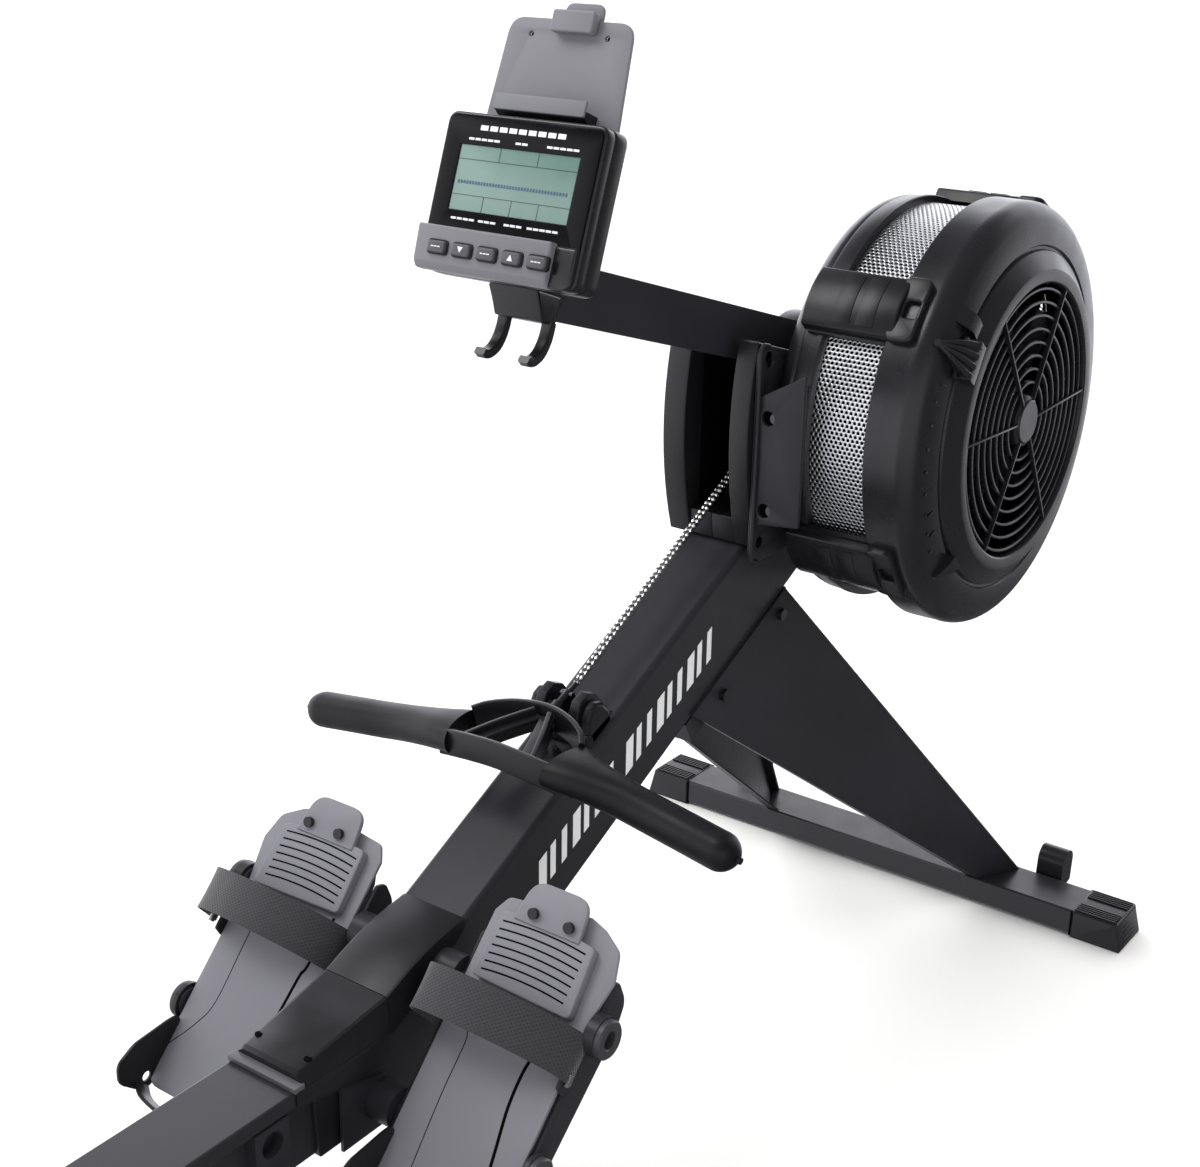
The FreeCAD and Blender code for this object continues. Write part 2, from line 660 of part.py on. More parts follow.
# --- Handle ---------------------------------------------------------------------------------
def arc_strip(rear_x, front_x, half_width, z):
    """A D-shaped block: a straight rear edge and a bowed front."""
    shoulder = front_x - 23
    a = V(rear_x, -half_width, z[0])
    b = V(shoulder, -half_width, z[0])
    c = V(front_x, 0, z[0])
    d = V(shoulder, half_width, z[0])
    e = V(rear_x, half_width, z[0])
    wire = Part.Wire([
        Part.LineSegment(a, b).toShape(), Part.Arc(b, c, d).toShape(),
        Part.LineSegment(d, e).toShape(), Part.LineSegment(e, a).toShape()])
    return Part.Face(wire).extrude(V(0, 0, z[1] - z[0]))


def handle_yoke():
    """The flat-bar loop between the grips, with two struts to the chain's anchor."""
    loop = arc_strip(356.5, 434.5, 74, YOKE_Z).cut(arc_strip(361.5, 429.5, 68, (400, 470)))
    pieces = [loop]
    for side in (-1, 1):
        strut = box((0, 66), (-2.5, 2.5), YOKE_Z)
        strut.rotate(V(0, 0, 0), V(0, 0, 1), -side * 31)
        strut.translate(V(360, side * 36, 0))
        pieces.append(strut.common(arc_strip(358, 433, 70, YOKE_Z)))
        stub = [side * 66, side * 84]
        pieces.append(rod(9, (377, stub[0], 428.5), (377, stub[1], 426.5)))
    return joined(pieces)


def handle_grip():
    """A bent rubber grip on the left."""
    points = [V(*point) for point in GRIP_LINE]
    pieces = []
    for start, end in zip(points, points[1:]):
        pieces.append(rod(GRIP_RADIUS, tuple(start), tuple(end)))
        pieces.append(Part.makeSphere(GRIP_RADIUS, end))
    return joined(pieces).cut(rod(9, (377, 60, 429.3), (377, 84, 426.5)))


def chain_swivel():
    """The swivel that joins the yoke's nose to the chain."""
    x, z = chain_line(CHAIN_TOP_RUN + 0.6)
    return rod(7, (424.6, 0, 432.2), (x, 0, z)).cut(box((410, 434.55), (-9, 9), (415, 450)))


# --- Seat -----------------------------------------------------------------------------------
def seat_carriage():
    """A channel over the rail whose sides hook under the rail's lips."""
    x = (SEAT_X - 100, SEAT_X + 100)
    lip = RAIL_WIDTH / 2
    top = box(x, (-lip - 6, lip + 6), (300, 306))
    plate = box((SEAT_X - 115, SEAT_X + 115), (-110, 110), (306, 314))
    pieces = [top, plate]
    for side in (-1, 1):
        pieces.append(box(x, sorted((side * (lip + 2), side * (lip + 6))), (244, 301)))
        pieces.append(box(x, sorted((side * (lip - 5), side * (lip + 6))), (244, 249)))
    body = joined(pieces)
    for along in (-70, 70):
        centre = (SEAT_X + along, RAIL_TOP + ROLLER_RADIUS + 0.3)
        body = body.cut(across(4 + RUNNING_GAP, centre, (-60, 60)))
    return body


def seat_rollers(along):
    """An axle with two rollers that run on the rail's top."""
    centre = (SEAT_X + along, RAIL_TOP + ROLLER_RADIUS + 0.3)
    return joined([across(4, centre, (-41, 41)),
                   across(ROLLER_RADIUS, centre, (-32, -12)), across(ROLLER_RADIUS, centre, (12, 32))])


def seat_pad():
    """A moulded seat: thicker at the back, with rounded corners."""
    outline = [(SEAT_X - 128, 314), (SEAT_X + 122, 314), (SEAT_X + 122, 346), (SEAT_X + 60, 350),
               (SEAT_X - 60, 352), (SEAT_X - 128, SEAT_TOP)]
    return rounded(profile(outline, (-152, 152)), 45, (0, 0, 1))


# --- Monitor --------------------------------------------------------------------------------
def monitor_arm():
    """A flat tube with rounded ends, from the housing's slot back to the monitor."""
    rear = arm_rear()
    length = math.hypot(rear[0] - ARM_FRONT[0], rear[1] - ARM_FRONT[1])
    half = ARM_HEIGHT / 2
    y = (-ARM_HALF, ARM_HALF)
    ends = [across(half, (0, 0), y), across(half, (-length, 0), y)]
    outer = joined([box((-length, 0), y, (-half, half))] + ends)
    inner = box((-length + 30, -30), (-ARM_HALF + 2, ARM_HALF - 2), (-half + 2, half - 2))
    arm = outer.cut(inner)
    arm = arm.cut(across(PIN_RADIUS + 2 + RUNNING_GAP, (0, 0), (-11, 11)))
    arm = arm.cut(across(PIN_RADIUS + RUNNING_GAP, (-length, 0), (-11, 11)))
    slope = math.degrees(math.atan2(rear[1] - ARM_FRONT[1], ARM_FRONT[0] - rear[0]))
    return pitched(arm, -slope, ARM_FRONT)


def button_outline(index, gap, depth):
    """A rounded key of the bottom row, grown by a gap."""
    y = (index - 2) * BUTTON_PITCH + BUTTON_SHIFT
    key = box(depth, (y - 9.5 - gap, y + 9.5 + gap), (BUTTON_ROW - 5 - gap, BUTTON_ROW + 5 + gap))
    return rounded(key, 3, (1, 0, 0))


def monitor_case():
    case = rounded(box((0, CASE_DEPTH), (-CASE_HALF, CASE_HALF), (CASE_BOTTOM, CASE_TOP)), 10, (1, 0, 0))
    panel = rounded(box((-11, 2), PANEL_Y, (CASE_BOTTOM, PANEL_TOP)), 3, (1, 0, 0))
    body = joined([case, panel])
    body = body.cut(box((-1, 2.5), (-59.3, 59.3), (-25.8, 25.8)))
    for index in range(5):
        body = body.cut(button_outline(index, 0.4, (-12, -4)))
    return on_monitor(body)


def monitor_screen():
    return on_monitor(box((0.5, 2.5), (-59, 59), (-25.5, 25.5)))


def monitor_button(index):
    return on_monitor(button_outline(index, 0, (-14, -6)))


def monitor_bracket():
    """The fork that holds the monitor on the arm, with two hooks below it."""
    front = CASE_BOTTOM
    block = profile([(27, front), (60, front), (60, front - 23), (42, front - 23)], (-25, 25))
    pieces = [block.cut(box((0, CASE_DEPTH), (-40, 40), (front, 0)))]
    for side in (-1, 1):
        cheek = box((CASE_DEPTH + 0.2, 72), sorted((side * (ARM_HALF + 0.6), side * 16)), (-97, -52))
        pieces.append(rounded(cheek, 10, (0, 1, 0)))
        y = sorted((side * 19, side * 26))
        pieces.append(box((50, 58), y, (-126, -98)))
        pieces.append(box((32, 58), y, (-134, -126)))
        pieces.append(box((30, 37), y, (-134, -122)))
    gap = (-ARM_HALF - 0.6, ARM_HALF + 0.6)
    fork = joined(pieces).cut(box((58, 90), gap, (-110, -40))).cut(across(26, TILT_PIVOT, gap))
    pin = across(PIN_RADIUS, TILT_PIVOT, (-16, 16))
    return on_monitor(joined([fork, pin]))


def tablet_plate():
    """A plain plate that narrows upwards behind the case, with a ledge for the tablet."""
    corners = [V(CASE_DEPTH, y, up) for y, up in (
        (-67, PLATE_BOTTOM), (67, PLATE_BOTTOM), (67, 40), (60.5, PLATE_TOP), (-60.5, PLATE_TOP), (-67, 40))]
    plate = rounded(Part.Face(Part.makePolygon(corners + corners[:1])).extrude(V(4, 0, 0)), 10, (1, 0, 0))
    for y in (-37.5, 37.5):
        plate = plate.cut(rod(2.5, (25, y, 125), (40, y, 125)))
    ledge = profile([(11, 60), (24, CASE_TOP + 0.5), (31, CASE_TOP + 0.5), (31, 63), (11, 63)], (-45, 45))
    lip = box((11, 14), (-45, 45), (60, 72))
    return on_monitor(joined([plate, ledge, lip]))


def tablet_clamp():
    """The jaw that rides over the plate's top edge, on a tongue behind the plate."""
    top = PLATE_TOP + 0.4
    jaw = rounded(box((21, 29.6), (CLAMP_Y - 20.5, CLAMP_Y + 20.5), (126, 143.5)), 3, (1, 0, 0))
    bridge = box((25, 38), (CLAMP_Y - 15, CLAMP_Y + 15), (top, 143.5))
    tongue = rounded(box((34.4, 38), (CLAMP_Y - 19, CLAMP_Y + 19), (70, 152.5)), 7, (1, 0, 0))
    return on_monitor(joined([jaw, bridge, tongue]))


# --- Fasteners ------------------------------------------------------------------------------
def fasteners():
    """Leg bolts, cover screws, bracket bolts, and the pivot bolts of the arm and the idler."""
    solids = []
    for x, y, z in ((760, 44, 450), (657, 44, 397)):
        solids.append(rod(6, (x, y, z), (x, y + 4, z)))
        solids.append(rod(6, (x, -y, z), (x, -y - 4, z)))
    for y in (-27, 27):
        solids.append(rod(3.3, (93, y, RAIL_TOP), (93, y, 279)))
    for x, z in ((700, 728), (700, 545)):
        solids.append(across(5.3, (x, z), (-50, -46.2)))
    for z in (582, 673):
        solids.append(rod(5.3, (690.2, -66, z), (696, -66, z)))
    solids.append(across(PIN_RADIUS + 2, ARM_FRONT, (-50.2, 54)))
    solids.append(across(PIN_RADIUS, beam_point(IDLER_U, IDLER_W), (-32, 32)))
    return Part.makeCompound(solids)


SINGLE_PARTS = {
    "main_beam": main_beam, "left_leg": left_leg, "right_leg": lambda: mirrored(left_leg()),
    "front_bar": front_bar, "front_bar_caps": front_bar_caps, "wheel_brackets": wheel_brackets,
    "rail": rail, "rail_spine": rail_spine, "rail_end_cap": rail_end_cap, "rail_tab": rail_tab,
    "rear_post": rear_post, "rear_bar": rear_bar, "rear_bar_caps": rear_bar_caps,
    "upper_cover": upper_cover, "lower_cover": lower_cover, "foot_tubes": foot_tubes,
    "handle_cradle": handle_cradle, "chain_housing": chain_housing, "fan_bracket": fan_bracket,
    "fan_shell_right": fan_shell_right, "fan_shell_left": fan_shell_left,
    "perforated_band": perforated_band, "shell_clips": shell_clips, "fan_axle": fan_axle,
    "fan_bearings": fan_bearings, "flywheel": flywheel, "damper_lever": damper_lever,
    "chain": chain, "chain_sprocket": chain_sprocket, "idler_pulley": idler_pulley,
    "return_cord": return_cord, "fasteners": fasteners, "seat_pad": seat_pad,
    "seat_carriage": seat_carriage, "handle_yoke": handle_yoke, "chain_swivel": chain_swivel,
    "monitor_arm": monitor_arm, "monitor_case": monitor_case, "monitor_screen": monitor_screen,
    "monitor_bracket": monitor_bracket, "tablet_plate": tablet_plate, "tablet_clamp": tablet_clamp,
}

# Pieces that come in a left and a right: the function, and the side that it draws.
PAIRS = {
    "foot_base": (foot_base, "right"), "foot_plate": (foot_plate, "right"),
    "foot_strap": (foot_strap, "right"),
    "handle_grip": (handle_grip, "left"), "transport_wheel": (transport_wheel, "left"),
}


def write(name, shape):
    if not shape.isValid():
        print("not valid:", name)
    shape.exportStep("parts/" + name + ".step")


def main():
    os.makedirs("parts", exist_ok=True)
    for name, make in SINGLE_PARTS.items():
        write(name, make())
    for name, (make, side) in PAIRS.items():
        other = "left" if side == "right" else "right"
        shape = make()
        write(name + "_" + side, shape)
        write(name + "_" + other, mirrored(shape))
    write("front_seat_rollers", seat_rollers(70))
    write("rear_seat_rollers", seat_rollers(-70))
    for index in range(5):
        write("monitor_button_" + str(index + 1), monitor_button(index))


main()
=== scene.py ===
"""The looks of the rowing machine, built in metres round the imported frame."""
import json
import math

import bmesh
import bpy
from mathutils import Matrix, Vector


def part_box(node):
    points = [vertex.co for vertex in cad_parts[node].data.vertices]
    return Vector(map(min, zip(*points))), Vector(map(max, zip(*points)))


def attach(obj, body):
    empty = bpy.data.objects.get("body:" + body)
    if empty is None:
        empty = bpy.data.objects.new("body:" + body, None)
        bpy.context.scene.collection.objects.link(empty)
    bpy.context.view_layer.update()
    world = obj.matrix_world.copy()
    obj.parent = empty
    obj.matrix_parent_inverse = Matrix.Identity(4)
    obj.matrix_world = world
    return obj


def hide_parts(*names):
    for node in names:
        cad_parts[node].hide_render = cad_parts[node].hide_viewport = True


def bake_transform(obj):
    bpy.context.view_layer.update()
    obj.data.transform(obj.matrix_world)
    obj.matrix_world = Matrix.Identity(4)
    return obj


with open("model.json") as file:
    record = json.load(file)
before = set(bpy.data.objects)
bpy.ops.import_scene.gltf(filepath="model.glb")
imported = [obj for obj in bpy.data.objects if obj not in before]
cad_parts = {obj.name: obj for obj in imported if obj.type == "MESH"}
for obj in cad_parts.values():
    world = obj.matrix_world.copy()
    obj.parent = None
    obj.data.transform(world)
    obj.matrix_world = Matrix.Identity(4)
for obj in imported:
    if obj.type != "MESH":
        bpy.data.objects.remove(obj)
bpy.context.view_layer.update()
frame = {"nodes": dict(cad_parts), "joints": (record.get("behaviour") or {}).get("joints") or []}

MM = 0.001
MERGE = 1e-4
JOINTS = {joint["name"]: joint for joint in frame["joints"]}
FAN = Vector(JOINTS["fan_spin"]["pos_m"])
SEGMENTS = 160
BEAM_SLOPE = 26.95
CHAIN_SLOPE = 28.8
CHAIN_PITCH = 6.35
CHAIN_LINKS = 72
SPROCKET_RADIUS = 39.6
CLIP_ANGLES = (142, 214, 286, 358, 61)
DAMPER_ANGLE = 148.5

# The eye's place in metres, its turns in radians, and its lens.
EYE = (-0.7598, -0.9116, 1.1418)
YAW = 0.6323
PITCH = -0.3617
ROLL = 0.0160
LENS = 55.46
SHIFT = (0.0123, -0.0034)

# How bright the studio is in reflections: all round, ahead, on the left and behind.
ROOM_GLOW = 0.15
WALL_GLOW = 1.7
SIDE_GLOW = 0.55
BACK_GLOW = 0.75

# Each sun's name, strength, spread and turns, in degrees.
SUNS = (("sky", 2.75, 100, (-12, 8)), ("fill", 0.55, 90, (48, -30)))


def local_frame(degrees, place):
    """Axes pitched nose-up by degrees about Y, in millimetres, with their origin at a place in metres."""
    return Matrix.Translation(place) @ Matrix.Rotation(-math.radians(degrees), 4, "Y") @ Matrix.Scale(MM, 4)


WORLD = Matrix.Scale(MM, 4)
BEAM = local_frame(BEAM_SLOPE, (0.6259, 0, 0.5025))
FOOT = local_frame(46.7, (0.286, 0, 0.348))
SCREEN = local_frame(-19.5, (0.3807, 0, 0.9187))
FAN_FRAME = local_frame(0, FAN)


def mirrored(matrix):
    return Matrix.Scale(-1, 4, (0, 1, 0)) @ matrix


# --- Materials ------------------------------------------------------------------------------
class Nodes:
    """A short way to add shader nodes and link them."""

    def __init__(self, name):
        self.material = bpy.data.materials.new(name)
        self.material.use_nodes = True
        self.tree = self.material.node_tree
        self.shader = self.tree.nodes["Principled BSDF"]
        self.place = self.add("ShaderNodeTexCoord").outputs["Object"]

    def add(self, kind, **inputs):
        node = self.tree.nodes.new(kind)
        for name, value in inputs.items():
            socket = node.inputs[name.replace("_", " ")]
            if isinstance(value, bpy.types.NodeSocket):
                self.tree.links.new(value, socket)
            else:
                socket.default_value = value
        return node

    def link(self, output, name):
        self.tree.links.new(output, self.shader.inputs[name])

    def noise(self, scale, detail=3.0, vector=None):
        node = self.add("ShaderNodeTexNoise", Scale=scale, Detail=detail, Vector=vector or self.place)
        return node.outputs["Fac"]

    def ramp(self, factor, low, high, start=0.3, end=0.7):
        """Maps a factor to a number, or to a colour, between low and high."""
        if isinstance(low, tuple):
            node = self.add("ShaderNodeMix", Factor=factor)
            node.data_type = "RGBA"
            node.inputs[6].default_value = (*low, 1)
            node.inputs[7].default_value = (*high, 1)
            self.tree.links.new(factor, node.inputs["Factor"])
            return node.outputs[2]
        node = self.add("ShaderNodeMapRange", Value=factor)
        node.inputs["From Min"].default_value = start
        node.inputs["From Max"].default_value = end
        node.inputs["To Min"].default_value = low
        node.inputs["To Max"].default_value = high
        return node.outputs["Result"]

    def bump(self, height, strength, distance):
        node = self.add("ShaderNodeBump", Height=height, Strength=strength, Distance=distance)
        self.link(node.outputs["Normal"], "Normal")

    def set(self, **values):
        for name, value in values.items():
            self.shader.inputs[name.replace("_", " ")].default_value = value


def coated(name, colour, roughness, grain, strength, spread=0.2, shine=0.5):
    """A moulded or painted surface: its colour drifts a little, and a fine grain breaks the gloss."""
    nodes = Nodes(name)
    drift = nodes.noise(9.0, 4.0)
    darker = tuple(value * (1 - spread) for value in colour)
    lighter = tuple(value * (1 + spread) for value in colour)
    nodes.link(nodes.ramp(drift, darker, lighter), "Base Color")
    nodes.link(nodes.ramp(nodes.noise(35.0, 5.0), roughness - 0.04, roughness + 0.05), "Roughness")
    nodes.bump(nodes.noise(grain, 2.0), strength, 0.0004)
    nodes.set(Specular_IOR_Level=shine)
    return nodes.material


def webbing(name, colour):
    """Woven nylon: fine diagonal ribs over a cross thread."""
    nodes = Nodes(name)
    coordinates = nodes.add("ShaderNodeTexCoord").outputs["UV"]
    waves = []
    for turn in (0.9, -0.9):
        turned = nodes.add("ShaderNodeVectorRotate", Vector=coordinates, Angle=turn).outputs["Vector"]
        waves.append(
            nodes.add("ShaderNodeTexWave", Vector=turned, Scale=110.0, Distortion=0.4).outputs["Fac"])
    both = nodes.add("ShaderNodeMath")
    both.operation = "MAXIMUM"
    nodes.tree.links.new(waves[0], both.inputs[0])
    nodes.tree.links.new(waves[1], both.inputs[1])
    weave = both.outputs["Value"]
    nodes.link(nodes.ramp(weave, tuple(value * 0.45 for value in colour), colour), "Base Color")
    nodes.bump(weave, 0.6, 0.0006)
    nodes.set(Roughness=0.82, Sheen_Weight=0.25, Sheen_Roughness=0.5)
    return nodes.material


def grip_rubber(name):
    """Soft rubber with a fine pebbled skin."""
    nodes = Nodes(name)
    pebbles = nodes.add("ShaderNodeTexVoronoi", Vector=nodes.place, Scale=900.0).outputs["Distance"]
    nodes.link(
        nodes.ramp(nodes.noise(60.0), (0.0028, 0.0027, 0.0034), (0.0045, 0.0043, 0.0052)), "Base Color")
    nodes.link(nodes.ramp(nodes.noise(40.0), 0.42, 0.52), "Roughness")
    nodes.bump(pebbles, 0.25, 0.0003)
    nodes.set(Specular_IOR_Level=0.36)
    return nodes.material


def bare_metal(name, colour, roughness):
    """Metal with a slightly uneven polish."""
    nodes = Nodes(name)
    nodes.link(nodes.ramp(nodes.noise(60.0), tuple(v * 0.85 for v in colour), colour), "Base Color")
    nodes.link(nodes.ramp(nodes.noise(150.0), roughness - 0.05, roughness + 0.08), "Roughness")
    nodes.bump(nodes.noise(1400.0), 0.08, 0.0002)
    nodes.set(Metallic=1.0)
    return nodes.material


def display(name):
    """The grey-green of an unlit liquid-crystal panel under its window."""
    nodes = Nodes(name)
    cloud = nodes.noise(16.0, 2.0)
    nodes.link(nodes.ramp(cloud, (0.075, 0.165, 0.130), (0.20, 0.30, 0.265)), "Base Color")
    nodes.set(Roughness=0.14, Coat_Weight=0.8, Coat_Roughness=0.04)
    return nodes.material


STEEL = coated("frame_steel", (0.0215, 0.0208, 0.0255), 0.36, 900.0, 0.10, shine=0.28)
RAIL = coated("rail_black", (0.016, 0.0158, 0.019), 0.33, 700.0, 0.08, shine=0.5)
BAR = coated("bar_grey", (0.016, 0.0156, 0.019), 0.36, 800.0, 0.08, shine=0.5)
SHELL = coated("shell_plastic", (0.0105, 0.0101, 0.0125), 0.29, 1500.0, 0.06, shine=0.5)
BLACK = coated("black_plastic", (0.0090, 0.0087, 0.0108), 0.33, 1400.0, 0.10, shine=0.42)
GREY = coated("grey_plastic", (0.180, 0.177, 0.198), 0.50, 1500.0, 0.16, spread=0.04)
PLATE_GREY = coated("plate_grey", (0.165, 0.162, 0.181), 0.48, 1500.0, 0.12, spread=0.03)
BUTTON = coated("button_grey", (0.070, 0.069, 0.078), 0.46, 1500.0, 0.12, spread=0.05)
CASE = coated("case_plastic", (0.0085, 0.0083, 0.0100), 0.26, 1500.0, 0.08, shine=0.55)
BEZEL = coated("gloss_bezel", (0.0035, 0.0034, 0.0044), 0.14, 50.0, 0.0, shine=0.16)
INK = coated("white_ink", (0.78, 0.78, 0.78), 0.45, 500.0, 0.05, spread=0.03)
LINE = coated("lcd_line", (0.020, 0.035, 0.035), 0.4, 500.0, 0.0)
DOTS = coated("lcd_dots", (0.035, 0.085, 0.160), 0.4, 500.0, 0.0)
# Near-black, matt and without gloss: painted shade, laid in hollows, gaps, grooves, linings and behind holes
# where only shade shows.
PAINTED_SHADE = coated("painted_hollow_shade", (0.0015, 0.0015, 0.0018), 0.9, 500.0, 0.0, shine=0.05)
WEB = webbing("strap_webbing", (0.030, 0.0295, 0.0345))
RUBBER = grip_rubber("grip_rubber")
SILVER = bare_metal("perforated_silver", (0.86, 0.86, 0.87), 0.30)
NICKEL = bare_metal("chain_nickel", (0.72, 0.71, 0.69), 0.22)
ZINC = bare_metal("dark_zinc", (0.10, 0.10, 0.11), 0.34)
LCD = display("lcd_panel")
BOSS = coated("boss_grey", (0.040, 0.039, 0.045), 0.40, 1200.0, 0.1)
CHIN = coated("chin_grey", (0.165, 0.162, 0.180), 0.42, 1500.0, 0.10, spread=0.03)
SILL = coated("sill_grey", (0.085, 0.083, 0.092), 0.40, 1200.0, 0.1, spread=0.05)
SEAT = coated("seat_skin", (0.014, 0.0138, 0.016), 0.60, 420.0, 0.4)


# --- Mesh helpers ---------------------------------------------------------------------------
def placed(name, data):
    """A new object in the scene."""
    obj = bpy.data.objects.new(name, data)
    bpy.context.collection.objects.link(obj)
    return obj


def piece(name, mesh, material, body="frame", nodes=(), smooth=35):
    """Names a mesh, shades it, gives it a finish, ties it to a body, and hides the CAD nodes that it stands
    for.
    """
    mesh.name = name
    obj = placed(name, mesh)
    mesh.materials.clear()
    mesh.materials.append(material)
    mesh.shade_smooth()
    mesh.set_sharp_from_angle(angle=math.radians(smooth))
    if body:
        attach(obj, body)
    if nodes:
        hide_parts(*nodes)
    return obj


def joined(meshes):
    """One mesh from several."""
    whole = bmesh.new()
    for mesh in meshes:
        whole.from_mesh(mesh)
    result = bpy.data.meshes.new("joined")
    whole.to_mesh(result)
    whole.free()
    return result


def moved(mesh, matrix):
    """The mesh in a new place, with its faces still turned outwards."""
    mesh.transform(matrix)
    if matrix.determinant() < 0:
        mesh.flip_normals()
    return mesh


def cleaned(mesh, merge=MERGE):
    """The mesh with its doubled points merged and its faces turned outwards."""
    tidy = bmesh.new()
    tidy.from_mesh(mesh)
    bmesh.ops.remove_doubles(tidy, verts=tidy.verts, dist=merge)
    bmesh.ops.recalc_face_normals(tidy, faces=tidy.faces)
    tidy.to_mesh(mesh)
    tidy.free()
    return mesh


def from_faces(points, faces, matrix=WORLD, merge=MERGE):
    """A mesh from points and faces, moved into its place."""
    mesh = bpy.data.meshes.new("faces")
    mesh.from_pydata([tuple(point) for point in points], [], faces)
    return moved(cleaned(mesh, merge), matrix)


def skinned(rings, matrix=WORLD):
    """A closed skin through rings that all have the same number of points, with flat ends."""
    count = len(rings[0])
    points = [point for ring in rings for point in ring]
    last = len(points) - count
    faces = []
    for near in range(0, last, count):
        far = near + count
        for step in range(count):
            other = (step + 1) % count
            faces.append((near + step, near + other, far + other, far + step))
    faces.append(tuple(range(count)))
    faces.append(tuple(range(last, len(points))))
    return from_faces(points, faces, matrix)


def arc(centre, radius, start, end, steps=8):
    """Points on a circle, between two angles in degrees."""
    points = []
    for step in range(steps + 1):
        angle = math.radians(start + (end - start) * step / steps)
        points.append((centre[0] + radius * math.cos(angle), centre[1] + radius * math.sin(angle)))
    return points


def rounded(corners, radius, steps=5):
    """An outline with its corners rounded. radius is one number, or one for each corner."""
    count = len(corners)
    radii = radius if isinstance(radius, (list, tuple)) else [radius] * count
    outline = []
    for index in range(count):
        here = Vector(corners[index])
        before = Vector(corners[index - 1]) - here
        after = Vector(corners[(index + 1) % count]) - here
        if radii[index] <= 0:
            outline.append(tuple(here))
            continue
        half = before.angle(after) / 2
        cut = min(radii[index] / math.tan(half), before.length * 0.49, after.length * 0.49)
        start = here + before.normalized() * cut
        end = here + after.normalized() * cut
        for step in range(steps + 1):
            share = step / steps
            bend = start * (1 - share) ** 2 + here * 2 * share * (1 - share) + end * share ** 2
            outline.append(tuple(bend))
    return outline


def circle(centre, radius, steps=28):
    """A closed outline, without its first point again."""
    return arc(centre, radius, 0, 360 - 360 / steps, steps - 1)


def rectangle(low, high):
    return [(low[0], low[1]), (high[0], low[1]), (high[0], high[1]), (low[0], high[1])]


PLANES = {
    "xy": Matrix.Identity(4), "xz": Matrix(((1, 0, 0, 0), (0, 0, 1, 0), (0, 1, 0, 0), (0, 0, 0, 1))),
    "yz": Matrix(((0, 0, 1, 0), (1, 0, 0, 0), (0, 1, 0, 0), (0, 0, 0, 1))),}


def plate(outline, span, plane="xz", matrix=WORLD, holes=(), edge=0.8):
    """A flat plate from an outline and holes drawn in a plane, between two heights, with rounded edges."""
    curve = bpy.data.curves.new("plate", "CURVE")
    curve.dimensions = "2D"
    curve.fill_mode = "BOTH"
    curve.extrude = max((span[1] - span[0]) / 2 - edge, 0.001)
    curve.bevel_depth = edge
    curve.bevel_resolution = 2
    curve.offset = -edge
    for loop in (outline, *holes):
        spline = curve.splines.new("POLY")
        spline.points.add(len(loop) - 1)
        for point, place in zip(spline.points, loop):
            point.co = (place[0], place[1], 0, 1)
        spline.use_cyclic_u = True
    obj = placed("plate", curve)
    bpy.context.view_layer.update()
    mesh = bpy.data.meshes.new_from_object(obj.evaluated_get(bpy.context.evaluated_depsgraph_get()))
    bpy.data.objects.remove(obj)
    bpy.data.curves.remove(curve)
    lift = Matrix.Translation((0, 0, (span[0] + span[1]) / 2))
    return moved(cleaned(mesh), matrix @ PLANES[plane] @ lift)


def block(low, high, matrix=WORLD, radius=2.0, edge=1.0, plane="xz"):
    """A rounded box between two corners."""
    picks = {"xy": (0, 1, 2), "xz": (0, 2, 1), "yz": (1, 2, 0)}[plane]
    a, b, c = picks
    outline = rectangle((low[a], low[b]), (high[a], high[b]))
    return plate(rounded(outline, radius), (low[c], high[c]), plane, matrix, edge=edge)


def lathe(profile, matrix, segments=SEGMENTS):
    """A ring about the local Y axis, from (radius, y) points."""
    points = []
    for step in range(segments):
        angle = 2 * math.pi * step / segments
        for radius, y in profile:
            points.append((radius * math.cos(angle), y, radius * math.sin(angle)))
    count = len(profile)
    faces = []
    for step in range(segments):
        near = step * count
        far = (step + 1) % segments * count
        for index in range(count):
            other = (index + 1) % count
            faces.append((near + index, near + other, far + other, far + index))
    return from_faces(points, faces, matrix)


def rod(start, end, radius, matrix=WORLD, segments=20):
    """A round bar between two points, with flat ends."""
    return sweep([start, end], circle((0, 0), radius, segments), matrix, Vector((0.31, 0.17, 0.93)))


def prism(outline, span, matrix):
    """A plain straight-sided plate in the (x, z) plane, for small repeated pieces."""
    return skinned([[(x, y, z) for x, z in outline] for y in span], matrix)


def sweep(path, section, matrix=WORLD, up=Vector((0, 0, 1)), scales=None):
    """A section drawn in (side, up), carried along a path. scales grows or shrinks it at each point."""
    path = [Vector(point) for point in path]
    rings = []
    for index, place in enumerate(path):
        ahead = path[min(index + 1, len(path) - 1)] - path[max(index - 1, 0)]
        ahead.normalize()
        side = ahead.cross(up).normalized()
        above = side.cross(ahead).normalized()
        grow = scales[index] if scales else (1, 1)
        rings.append([place + side * (u * grow[0]) + above * (v * grow[1]) for u, v in section])
    return skinned(rings, matrix)


def smooth_path(points, steps=6):
    """A path through the points, rounded as a Catmull-Rom curve."""
    points = [Vector(point) for point in points]
    ends = [points[0] * 2 - points[1]] + points + [points[-1] * 2 - points[-2]]
    path = []
    for index in range(1, len(ends) - 2):
        a, b, c, d = ends[index - 1:index + 3]
        for step in range(steps):
            t = step / steps
            path.append(0.5 * (2 * b + (c - a) * t + (2 * a - 5 * b + 4 * c - d) * t * t
                               + (3 * b - a - 3 * c + d) * t ** 3))
    path.append(points[-1])
    return path


def oval(width, height, power=2.6, steps=28):
    """A rounded cross-section: an ellipse at power 2, nearer to a rectangle above it."""
    outline = []
    for step in range(steps):
        angle = 2 * math.pi * step / steps
        across, upward = math.cos(angle), math.sin(angle)
        outline.append(
            (width / 2 * math.copysign(abs(across) ** (2 / power), across),
            height / 2 * math.copysign(abs(upward) ** (2 / power), upward)))
    return outline


